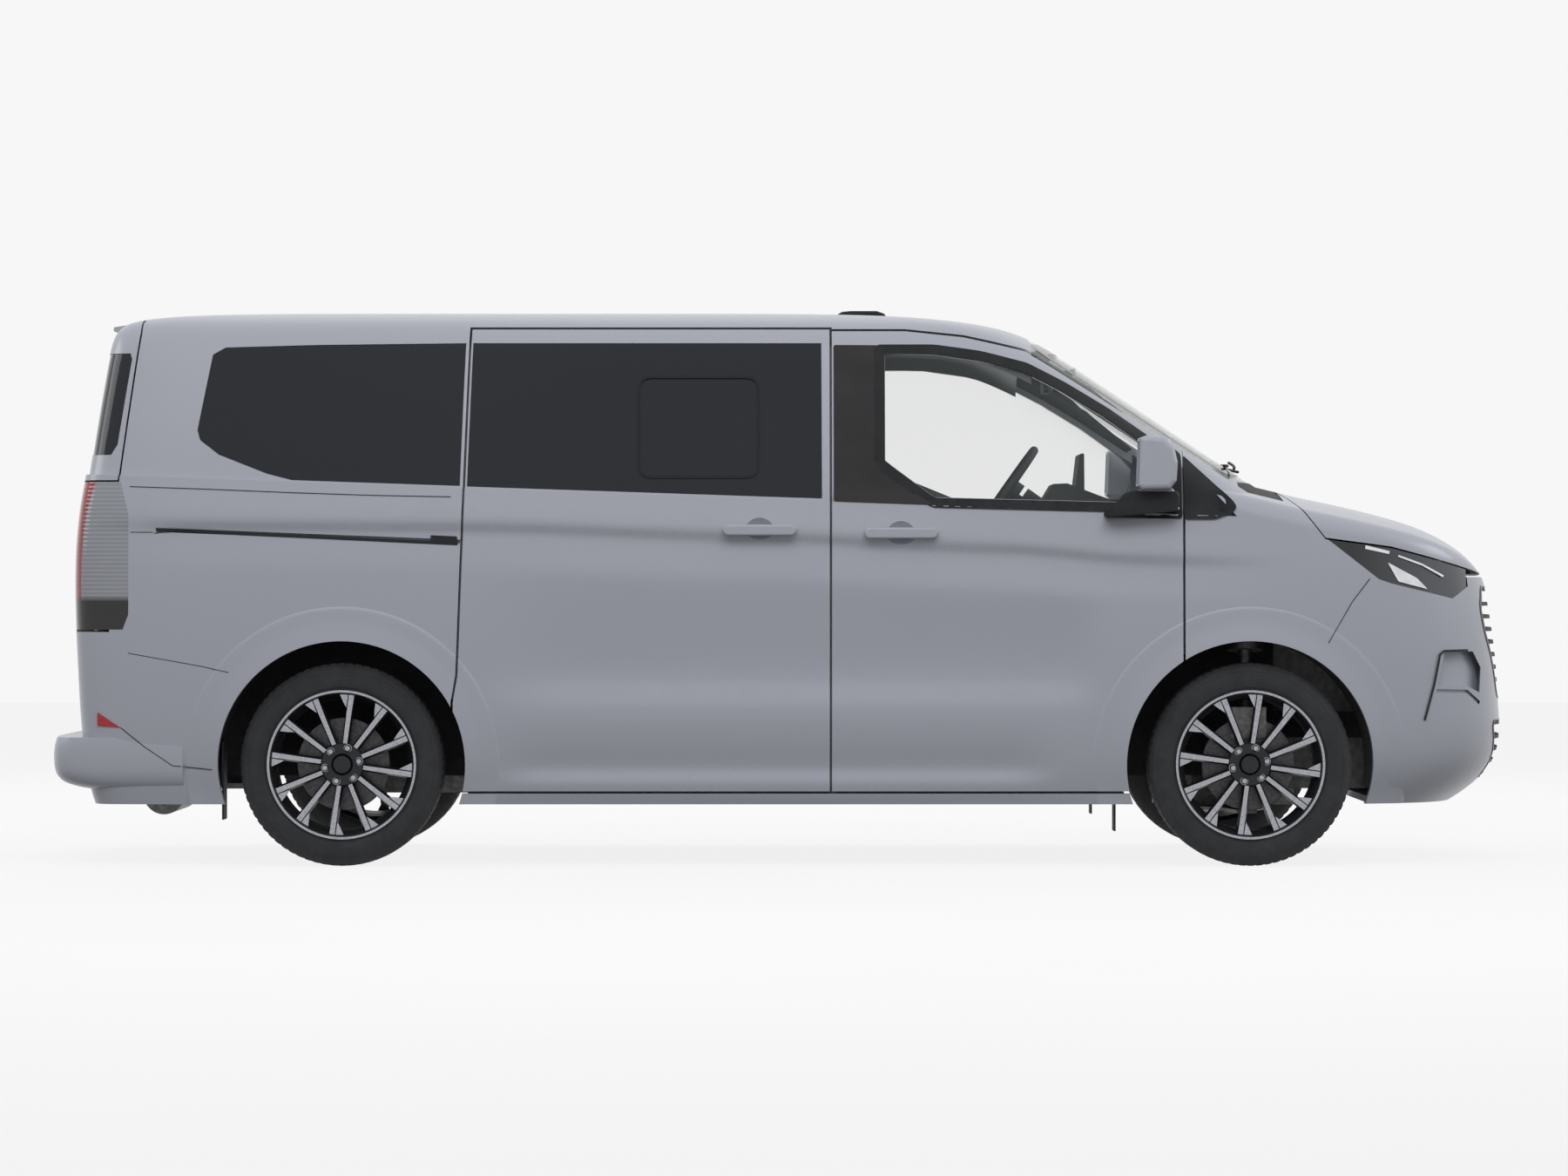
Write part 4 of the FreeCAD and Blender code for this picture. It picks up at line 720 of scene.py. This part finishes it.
def window_frames(name, side):
    place = partial(side_skin, side)
    pane = rounded(SLIDER_PANE, PANE_CORNER)
    patch("slider_pane_seal_" + name, pane, place, SEAL_THICKNESS, "gloss_black", holes=[inset(pane, SEAL_WIDTH)],
          step=0.02)
    frame_line = rounded(inset(DOOR_WINDOW, -FRAME_OVERLAP), FRAME_CORNER)
    patch("door_frame_" + name, frame_line, place, FRAME_THICKNESS, "black_plastic", "front_door_" + name,
          holes=[inset(frame_line, FRAME_WIDTH)], step=0.02)


# Name, width and line of each joint between two panels that the shell carries as one
PANEL_JOINTS = (
    ("waist_joint", 0.0026, mm((-2230, 1296), (-1960, 1287), (-1700, 1276), (-1400, 1266), (-1136, 1261))),
    ("lamp_joint", 0.0026, mm((-2228, 1140), (-2150, 1140))),
    ("corner_joint", 0.0026, mm((-2235, 728), (-1990, 684), (-1892, 662))),
    ("bumper_joint", 0.0032, mm((-2262, 474), (-2180, 408), (-2085, 344), (-1950, 330))),
    ("wing_joint", 0.0026, mm((2000, 982), (1940, 905), (1856, 762))))
RAIL_LINE = mm((-2140, 1149), (-1112, 1101))
RAIL_WIDTH = 0.011
RAIL_BLOCK = mm((-1204, 1130), (-1114, 1126), (-1114, 1098), (-1204, 1102))
ABOVE_RAIL_Z = 1.19
RAIL_SINK = 0.012
CORNER_REFLECTOR = mm((-2342, 526), (-2262, 474), (-2342, 480))
# Along the slanted edge and top of the front bumper's corner pocket: a dark line of painted shade, where the pocket's
# edge falls into shade
CORNER_SHADE_LINE = mm((2192, 497), (2226, 620), (2247, 722), (2262, 734), (2352, 736))
CORNER_SHADE_LINE_WIDTH = 0.008
LINE_PROUD = 0.001


def side_details(name, side):
    for joint, width, line in PANEL_JOINTS:
        ribbon(joint + "_" + name, line, side, width)
    ribbon("rail_shadow_" + name, RAIL_LINE, side, RAIL_WIDTH, "black_plastic", LINE_PROUD)

    def in_rail(x, z, proud):
        return Vector((x, side_skin(side, x, ABOVE_RAIL_Z, proud - RAIL_SINK).y, z))

    patch("rail_block_" + name, rounded(RAIL_BLOCK, 0.004), in_rail, 0.004, "black_plastic")
    patch("corner_reflector_" + name, CORNER_REFLECTOR, partial(side_skin, side), 0.0015, "lamp_red", step=0.012)
    # A dark line of painted shade along the corner pocket's edge
    ribbon("corner_shade_line_" + name, CORNER_SHADE_LINE, side, CORNER_SHADE_LINE_WIDTH, "black_plastic", LINE_PROUD)


# Mirrors

MIRROR_BASE = mm((1090, 1196), (1166, 1281), (1336, 1281), (1347, 1268), (1347, 1212), (1096, 1190))
MIRROR_BASE_CORNER = 0.02
# Distance from the vehicle's middle, and the outline's size there
MIRROR_BASE_LAYERS = ((0.93, 0.9), (1.0, 1.0), (1.04, 1.0), (1.058, 0.97), (1.065, 0.93), (1.067, 0.85))
MIRROR_PANE = mm((1018, 1310), (1118, 1310), (1118, 1444), (1018, 1444))
MIRROR_PANE_CORNER = 0.018
MIRROR_PANE_X = 1.2085


def mirror_pieces(name, side):
    body = "front_door_" + name
    line = rounded(MIRROR_BASE, MIRROR_BASE_CORNER)
    centre = middle_of(line)
    rings = []
    for depth, size in MIRROR_BASE_LAYERS:
        rings.append([Vector((centre.x + (p.x - centre.x) * size, side * depth, centre.y + (p.y - centre.y) * size))
                      for p in line])
    tidy_normals(Build().strip(rings, capped=True).made("mirror_base_" + name, "black_plastic", body))
    patch("mirror_glass_" + name, rounded(MIRROR_PANE, MIRROR_PANE_CORNER), partial(on_plane, MIRROR_PANE_X, side),
          0.002, "mirror_glass", body, step=0.02)


# Lamps

LAMP_STRIP = mm((1986, 1096), (2070, 1076), (2068, 1066), (1984, 1084))
LAMP_REFLECTOR = mm((2062, 1038), (2100, 972), (2204, 946), (2166, 984))
LAMP_LINE = mm((2100, 1060), (2185, 1030), (2262, 990))
LAMP_LINE_WIDTH = 0.007
LAMP_PROUD = 0.001


def lamp_pieces(name, side):
    place = partial(side_skin, side)
    patch("lamp_strip_" + name, LAMP_STRIP, place, LAMP_PROUD, "chrome", step=0.01)
    patch("lamp_reflector_" + name, rounded(LAMP_REFLECTOR, 0.006), place, LAMP_PROUD, "lamp_bright", step=0.012)
    ribbon("lamp_light_line_" + name, LAMP_LINE, side, LAMP_LINE_WIDTH, "lamp_bright", LAMP_PROUD)


# Cabin

CABIN_Y = 0.35
CABIN_Z = 1.25
ROOF_INSIDE_Z = 1.84
LOW_HALF_WIDTH = 0.9
HIGH_HALF_WIDTH = 0.74
HIGH_FROM = 1.4
DOOR_DEPTH = 0.066


def inner_skin(side, x, z, proud):
    """The inner face of the vehicle's side, moved inward."""
    hit = SKINS[side].ray_cast(Vector((x, side * CABIN_Y, z)), Vector((0, side, 0)))[0]
    beyond = LOW_HALF_WIDTH if z < HIGH_FROM else HIGH_HALF_WIDTH
    return Vector((x, side * ((abs(hit.y) if hit else beyond) - proud), z))


def under_roof(x, y, proud):
    hit = SKINS[1].ray_cast(Vector((x, y, CABIN_Z)), Vector((0, 0, 1)))[0]
    return Vector((x, y, (hit.z if hit else ROOF_INSIDE_Z) - proud))


HEADLINER = mm((-1930, -600), (560, -600), (640, -400), (660, 0), (640, 400), (560, 600), (-1930, 600))
DOOR_CARD = mm((205, 470), (205, 1180), (1290, 1160), (1290, 800), (1180, 640), (1130, 470))
DOOR_LINING = mm(
    (300, 1800), (300, 1385), (330, 1340), (500, 1205), (640, 1205), (640, 1232), (346, 1352), (326, 1392),
    (326, 1772), (516, 1768), (674, 1746), (832, 1706), (960, 1640), (1109, 1550), (1255, 1445), (1285, 1462),
    (1109, 1600), (960, 1684), (832, 1746), (674, 1784), (516, 1798))
PILLAR_LINING = mm(
    (250, 1822), (320, 1806), (516, 1806), (650, 1796), (800, 1756), (920, 1700), (1060, 1612), (1190, 1500),
    (1200, 1510), (1060, 1640), (900, 1740), (760, 1792), (600, 1816))


def side_linings(name, side):
    def within_door(x, z, proud):
        return side_skin(side, x, z, -DOOR_DEPTH - proud)

    body = "front_door_" + name
    lined = partial(inner_skin, side)
    patch("door_card_" + name, rounded(DOOR_CARD, 0.04), lined, 0.006, "trim_plastic", body, step=0.05)
    patch("door_lining_" + name, DOOR_LINING, within_door, 0.004, "trim_plastic", body)
    patch("pillar_lining_" + name, PILLAR_LINING, lined, 0.005, "trim_plastic")


def cabin_pieces():
    patch("headliner", HEADLINER, under_roof, 0.006, "headliner", step=0.08)
    for name, side in SIDES:
        side_linings(name, side)


# Wipers, windscreen and cabin mirror

ROD_SIDES = 10
UPRIGHT_FROM = 0.9


def rod(build, points, radius):
    """A round bar along a line of points."""
    rings = []
    for i, spot in enumerate(points):
        along = (points[min(i + 1, len(points) - 1)] - points[max(i - 1, 0)]).normalized()
        helper = Vector((0, 0, 1)) if abs(along.z) < UPRIGHT_FROM else Vector((1, 0, 0))
        first = along.cross(helper).normalized()
        second = along.cross(first)
        rings.append([spot + (first * math.cos(a) + second * math.sin(a)) * radius for a in turned(ROD_SIDES)])
    build.strip(rings, capped=True)


def sign_power(value, power):
    return math.copysign(abs(value) ** power, value)


# Name, then the pivot and the blade's ends in Y and Z
WIPERS = (("wiper_right", (-0.62, 1.345), (-0.58, 1.366), (0.04, 1.378)),
          ("wiper_left", (0.02, 1.345), (0.08, 1.366), (0.64, 1.372)))
ARM_STEPS = 8
ARM_PROUD = 0.022
ARM_RADIUS = 0.005
BLADE_STEPS = 12
BLADE_PROUD = 0.009
BLADE_RADIUS = 0.006


def screen_line(start, end, steps, proud):
    """Points above the windscreen, on a straight line in Y and Z."""
    return [screen_skin(start[0] + (end[0] - start[0]) * k / steps, start[1] + (end[1] - start[1]) * k / steps, proud)
            for k in range(steps + 1)]


def wiper_pieces():
    for name, pivot, near, far in WIPERS:
        build = Build()
        middle = ((near[0] + far[0]) / 2, (near[1] + far[1]) / 2)
        rod(build, screen_line(pivot, middle, ARM_STEPS, ARM_PROUD), ARM_RADIUS)
        rod(build, screen_line(near, far, BLADE_STEPS, BLADE_PROUD), BLADE_RADIUS)
        build.made(name, "black_plastic")


SCREEN_EDGE = mm(
    (-740, 1342), (740, 1342), (738, 1450), (722, 1600), (702, 1700), (676, 1756), (610, 1794), (380, 1802),
    (-380, 1802), (-610, 1794), (-676, 1756), (-702, 1700), (-722, 1600), (-738, 1450))
SCREEN_CORNER = 0.03
BORDER_WIDTH = 0.034
BORDER_THICKNESS = 0.0008
PULL = 0.01
MOST_PULLS = 60


def on_screen(y, z, proud):
    """The windscreen's point at Y and Z, or the first one towards its middle."""
    return next(filter(None, (screen_skin(y * (1 - PULL * pull), z, proud) for pull in range(MOST_PULLS))))


# Under the screen's top, then the stalk's points and the mirror's middle from where it meets the screen
STALK_FROM = (0.6, 0, 1.72)
STALK = ((-0.004, 0, 0), (-0.06, 0, -0.012), (-0.10, 0, -0.03))
STALK_RADIUS = 0.012
CABIN_MIRROR_AT = (-0.105, 0, -0.045)
CABIN_MIRROR_SIZE = (0.13, 0.036)
CABIN_MIRROR_POWERS = (0.35, 0.5)
CABIN_MIRROR_SIDES = 40
# Distance forward, and the outline's size there
CABIN_MIRROR_LAYERS = ((-0.018, 0.80), (-0.016, 0.95), (0.0, 1.0), (0.012, 0.9), (0.018, 0.6))


def cabin_mirror():
    build = Build()
    top = SKINS[1].ray_cast(Vector(STALK_FROM), Vector((1, 0, 0)))[0]
    rod(build, [top + Vector(offset) for offset in STALK], STALK_RADIUS)
    centre = top + Vector(CABIN_MIRROR_AT)
    (wide, high), (wide_power, high_power) = CABIN_MIRROR_SIZE, CABIN_MIRROR_POWERS
    rings = []
    for depth, size in CABIN_MIRROR_LAYERS:
        rings.append([centre + Vector((depth, wide * size * sign_power(math.cos(a), wide_power),
                                       high * size * sign_power(math.sin(a), high_power)))
                      for a in turned(CABIN_MIRROR_SIDES)])
    build.strip(rings, capped=True)
    tidy_normals(build.made("cabin_mirror", "black_plastic"))


def screen_pieces():
    line = rounded(SCREEN_EDGE, SCREEN_CORNER)
    patch("screen_border", line, on_screen, BORDER_THICKNESS, "gloss_black", holes=[inset(line, BORDER_WIDTH)],
          step=0.02)
    cabin_mirror()


# Nose and tail

GRILLE_LINE = mm((-570, 955), (-640, 880), (-626, 790), (-490, 590), (-440, 570), (440, 570), (490, 590),
                 (626, 790), (640, 880), (570, 955))
INTAKE_LINE = mm((-590, 492), (-610, 470), (-510, 302), (-480, 290), (480, 290), (510, 302), (610, 470), (590, 492))
NOSE_LIMIT = 2.5228
NOSE_CORNER = 0.03
NOSE_STEP = 0.03
BACKING = mm((330, 262), (640, 262), (640, 500), (330, 500))
BACKING_X = 2.27
REAR_HANDLE = mm((-180, 968), (180, 968), (180, 992), (-180, 992))
HIGH_LAMP = mm((-130, 1844), (130, 1844), (130, 1853), (-130, 1853))
# Start and stride in Y and Z, number of points, and height above the glass
REAR_ARM = ((0.0, 1.410), (0.033, 0.004), 9, ARM_PROUD)
REAR_BLADE = ((0.02, 1.430), (0.045, 0.0022), 12, 0.01)
REAR_BLADE_RADIUS = 0.0055
on_tail = partial(end_skin, direction=1)


def on_nose(y, z, proud):
    spot = end_skin(y, z, proud, -1)
    spot.x = min(spot.x, NOSE_LIMIT)
    return spot


def nose_line(name, outline, width):
    """A narrow frame that follows an opening in the nose."""
    around = rounded(outline, NOSE_CORNER)
    centre = middle_of(around)
    outer = divided([p + (p - centre).normalized() * width for p in around], NOSE_STEP)
    patch(name, outer, on_nose, 0.003, "gloss_black", holes=[around], step=0.02)


def tail_line(start, stride, count, proud):
    """Points above the tailgate, by equal strides in Y and Z."""
    return [on_tail(start[0] + stride[0] * k, start[1] + stride[1] * k, proud) for k in range(count)]


def rear_wiper():
    build = Build()
    rod(build, tail_line(*REAR_ARM), ARM_RADIUS)
    rod(build, tail_line(*REAR_BLADE), REAR_BLADE_RADIUS)
    build.made("rear_wiper", "black_plastic", "tailgate")


def end_pieces():
    nose_line("grille_frame", GRILLE_LINE, 0.014)
    nose_line("intake_frame", INTAKE_LINE, 0.008)
    patch("tailgate_grip", rounded(REAR_HANDLE, 0.008), on_tail, 0.006, "black_plastic", "tailgate", step=0.02)
    rear_wiper()
    patch("high_brake_lamp", rounded(HIGH_LAMP, 0.004), on_tail, 0.0, "lamp_red", "tailgate", step=0.02)
    for name, side in SIDES:
        patch("intake_backing_" + name, BACKING, partial(on_plane, BACKING_X, side), 0.004, "black_plastic", step=0.05)


# Seats: each pad is blown up once as cloth, then copied with its seams to every place

PAD_PRESSURE = 4.0
PAD_FRAMES = 20
PAD_QUALITY = 4
PAD_CAP = 0.022
PAD_VOXEL = 0.008
PAD_STATIONS = 17
PAD_SIDES = 36
# How square a pad's ends are in plan, and its sides and its crown in section
END_POWER = 5
SIDE_POWER = 0.4
CROWN_POWER = 0.55
SEAM_HALF_WIDTH = 0.007
SEAM_DEPTH = 0.012
CROSS_SEAM_SHARE = 0.8
BOLSTER_RUN = 0.08
# Bolster and cross seams are shares of the width and length from the middle, rise is the bolsters' height
Pad = namedtuple("Pad", "length width thick taper bolster cross_seams rise fill")
PADS = {
    "cushion": Pad(0.470, 0.470, 0.120, 0.0, 0.30, (-0.18, 0.16), 0.014, 0.8),
    "backrest": Pad(0.570, 0.450, 0.090, 0.3, 0.30, (-0.2, 0.05, 0.28), 0.014, 0.75),
    "headrest": Pad(0.150, 0.240, 0.085, 0.1, 0.36, (), 0.0, 0.85)}


def pad_form(pad):
    """A closed form with rounded ends, long in X and crowned in Z, a little smaller than the finished pad."""
    rings = []
    for k in range(1, PAD_STATIONS):
        u = -math.cos(math.pi * k / PAD_STATIONS)
        swell = (1 - abs(u) ** END_POWER) ** (1 / END_POWER)
        narrow = 1 - pad.taper * (u + 1) / 2
        rings.append([Vector((u * pad.length / 2, swell * pad.width / 2 * sign_power(math.cos(a), SIDE_POWER),
                              swell * narrow * pad.thick / 2 * sign_power(math.sin(a), CROWN_POWER)))
                      for a in turned(PAD_SIDES)])
    return Build().strip(rings, capped=True)


def baked(obj):
    """The object's mesh as its modifiers leave it, put in place of them."""
    mesh = bpy.data.meshes.new_from_object(obj.evaluated_get(bpy.context.evaluated_depsgraph_get()))
    obj.modifiers.clear()
    obj.data = mesh
    return mesh


def puffed(name, build):
    """The form remeshed and blown up as cloth, with no point moved further than the cap."""
    mesh = bpy.data.meshes.new(name)
    mesh.from_pydata([tuple(v) for v in build.vertices], [], build.faces)
    obj = linked(name, mesh)
    tidy_normals(obj)
    remesh = obj.modifiers.new("even", "REMESH")
    remesh.mode = "VOXEL"
    remesh.voxel_size = PAD_VOXEL
    shape = baked(obj)
    start = [v.co.copy() for v in shape.vertices]
    cloth = obj.modifiers.new("puff", "CLOTH")
    cloth.settings.use_pressure = True
    cloth.settings.uniform_pressure_force = PAD_PRESSURE
    cloth.settings.effector_weights.gravity = 0
    cloth.settings.quality = PAD_QUALITY
    for frame_number in range(1, PAD_FRAMES + 1):
        bpy.context.scene.frame_set(frame_number)
    shape = baked(obj)
    for vertex, old in zip(shape.vertices, start):
        move = vertex.co - old
        if move.length > PAD_CAP:
            vertex.co = old + move.normalized() * PAD_CAP
    bpy.context.scene.frame_set(1)
    bpy.data.objects.remove(obj)
    return shape


def sewn(shape, pad):
    """Points of the pad with its bolsters raised and its seams drawn in."""
    edge = pad.bolster * pad.width
    points = []
    for vertex in shape.vertices:
        x, y, z = vertex.co
        if z > 0:
            out = min(max((abs(y) - edge) / (BOLSTER_RUN * pad.width), 0), 1)
            z += pad.rise * out * out * (3 - 2 * out)
            pull = math.exp(-((abs(y) - edge) / SEAM_HALF_WIDTH) ** 2)
            if abs(y) < edge:
                for seam in pad.cross_seams:
                    across = x - seam * pad.length
                    pull = max(pull, CROSS_SEAM_SHARE * math.exp(-(across / SEAM_HALF_WIDTH) ** 2))
            z -= SEAM_DEPTH * pull
        points.append(Vector((x, y, z)))
    return points


def pad_piece(name, shape, points, pad, place, turn, widening):
    """A copy of a pad at a seat, turned and as wide as that seat."""
    marks = []
    for polygon in shape.polygons:
        middle = middle_of([points[i] for i in polygon.vertices])
        marks.append(0 if abs(middle.y) < pad.bolster * pad.width and middle.z > 0 else 1)
    placed = [place + turn @ Vector((p.x, p.y * widening, p.z)) for p in points]
    faces = [tuple(polygon.vertices) for polygon in shape.polygons]
    obj = piece(name, placed, faces, ("seat_fabric", "seat_bolster"), marks=marks)
    return obj


# Name, front edge, seat middles, seat width, top of the cushion
SEAT_ROWS = (
    ("front", 0.700, (-0.385, 0.385), 0.51, 0.830),
    ("second", -0.330, (-0.255, 0.255), 0.49, 0.800),
    ("third", -1.290, (-0.285, 0.285), 0.55, 0.790))
SEAT_LEAN = math.radians(16)
SEAT_EDGE = 0.04
CUSHION_BACK = 0.25
CUSHION_BELOW = 0.076
SEAT_DEPTH = 0.505
# Along the backrest from its foot, where the pads' middles and the headrest's posts are
BACKREST_AT = (0.30, 0, 0)
HEADREST_AT = (0.715, 0, 0.004)
POST_Y = 0.055
POST_ENDS = (0.56, 0.68)
POST_RADIUS = 0.006
LEVEL = Matrix.Identity(3)


def seat_pieces():
    shapes = {kind: puffed(kind + "_form", pad_form(pad)) for kind, pad in PADS.items()}
    points = {kind: sewn(shapes[kind], pad) for kind, pad in PADS.items()}
    lean = Matrix.Rotation(-SEAT_LEAN, 3, "Y") @ Matrix(((0, 0, 1), (0, 1, 0), (1, 0, 0)))
    for row, front, middles, wide, top in SEAT_ROWS:
        widening = (wide - SEAT_EDGE) / PADS["cushion"].width
        for middle, seat in zip(middles, ("right", "left")):
            label = row + "_" + seat
            foot = Vector((front - SEAT_DEPTH, middle, top))
            for kind, place, turn, share in (
                    ("cushion", Vector((front - CUSHION_BACK, middle, top - CUSHION_BELOW)), LEVEL, widening),
                    ("backrest", foot + lean @ Vector(BACKREST_AT), lean, widening),
                    ("headrest", foot + lean @ Vector(HEADREST_AT), lean, 1.0)):
                pad_piece(kind + "_" + label, shapes[kind], points[kind], PADS[kind], place, turn, share)
            if seat == "right":
                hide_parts(row + "_seats")
            posts = Build()
            for y in (-POST_Y, POST_Y):
                rod(posts, [foot + lean @ Vector((along, y, 0)) for along in POST_ENDS], POST_RADIUS)
            posts.made("headrest_posts_" + label, "chrome")


# Camera, light and floor

CAMERA_DISTANCE = 22.6
CAMERA_HEIGHT = 0.95
LENS_MM = 145.6
SENSOR_MM = 36.0
CLIP_END = 200


def make_camera():
    data = bpy.data.cameras.new("view")
    data.sensor_fit = "HORIZONTAL"
    data.sensor_width = SENSOR_MM
    data.lens = LENS_MM
    data.clip_end = CLIP_END
    camera = linked("view", data)
    camera.location = (0, -CAMERA_DISTANCE, CAMERA_HEIGHT)
    camera.rotation_euler = (math.radians(90), 0, 0)
    bpy.context.scene.camera = camera


BACKDROP = (0.93, 0.93, 0.93, 1.0)
SKY_COLOUR = (0.97, 0.98, 1.0, 1.0)
SKY_LIGHT = 0.5
FLOOR_COLOURS = ((79.89, 79.89, 79.89), (82.3, 82.3, 82.3))
FLOOR_SIZE = 60.0
FLOOR_GLOW = 0.92


def seen_directly(tree):
    """One where a camera, mirror or glass ray looks, and nought for the light that falls on things."""
    path = add_node(tree, "LightPath", {}).outputs
    first = add_node(tree, "Math", {0: path["Is Camera Ray"], 1: path["Is Glossy Ray"]})
    second = add_node(tree, "Math", {0: first.outputs[0], 1: path["Is Transmission Ray"]})
    for node in (first, second):
        node.operation = "MAXIMUM"
    return second.outputs[0]


def make_world():
    world = bpy.data.worlds.new("studio")
    world.use_nodes = True
    tree = world.node_tree
    tree.nodes.clear()
    lamp = add_node(tree, "Background", {"Color": SKY_COLOUR, "Strength": SKY_LIGHT})
    shown = add_node(tree, "Background", {"Color": BACKDROP})
    mix = add_node(tree, "MixShader", {"Fac": seen_directly(tree), 1: lamp.outputs[0], 2: shown.outputs[0]})
    add_node(tree, "OutputWorld", {"Surface": mix.outputs[0]})
    bpy.context.scene.world = world


def make_floor():
    """A pale floor that keeps the vehicle's shadow and gives little light back from below."""
    finish = Finish("studio_floor", roughness=0.9, specular_ior_level=0.0)
    finish.coloured(finish.noise(0.8, 2), *FLOOR_COLOURS)
    lit = finish.shader.outputs[0]
    glow = finish.node("Emission", {"Color": BACKDROP, "Strength": FLOOR_GLOW})
    glowing = finish.node("AddShader", {0: lit, 1: glow.outputs[0]})
    mix = finish.node("MixShader", {"Fac": seen_directly(finish.tree), 1: lit, 2: glowing.outputs[0]})
    finish.tree.links.new(mix.outputs[0], finish.tree.nodes["Material Output"].inputs["Surface"])
    mesh = bpy.data.meshes.new("floor")
    half = FLOOR_SIZE / 2
    mesh.from_pydata([(-half, -half, 0), (half, -half, 0), (half, half, 0), (-half, half, 0)], [], [(0, 1, 2, 3)])
    mesh.materials.append(finish.material)
    linked("floor", mesh)


# Name, place, width, depth and power of the soft boxes
SOFT_BOXES = (
    ("right_box", (0.5, -7.5, 6.4), 8.0, 4.0, 420),
    ("left_box", (-0.5, 7.5, 6.4), 8.0, 4.0, 420),
    ("front_box", (8.5, 0, 4.5), 5.0, 3.0, 130),
    ("rear_box", (-8.5, 0, 4.5), 5.0, 3.0, 130))
AIM = (0, 0, 1.0)


def make_lights():
    """Soft boxes that face the vehicle. The side ones keep out of the reflections in its flat windows."""
    for name, place, width, depth, power in SOFT_BOXES:
        data = bpy.data.lights.new(name, "AREA")
        data.shape = "RECTANGLE"
        data.size = width
        data.size_y = depth
        data.energy = power
        lamp = linked(name, data)
        lamp.location = place
        lamp.visible_glossy = place[1] == 0
        lamp.rotation_euler = (Vector(AIM) - Vector(place)).to_track_quat("-Z", "Y").to_euler()


FINISH_OF_NODE = {"tail_lamps": "tail_lens"}


def dress_nodes():
    """Gives each CAD node the finish of its slot, or the one named above for it."""
    for row in frame["record"]["subparts"]:
        finish = FINISH_OF_NODE.get(row["node"], row["material_slot"])
        for place in frame["nodes"][row["node"]].material_slots:
            place.material = FINISHES[finish]


bpy.context.scene.view_settings.view_transform = "Standard"
make_camera()
make_world()
make_floor()
make_lights()
dress_nodes()
for side_name, side_sign in SIDES:
    for make_pieces in (wheel_pieces, side_trims, window_frames, side_details, mirror_pieces, lamp_pieces):
        make_pieces(side_name, side_sign)
cabin_pieces()
wiper_pieces()
screen_pieces()
end_pieces()
seat_pieces()
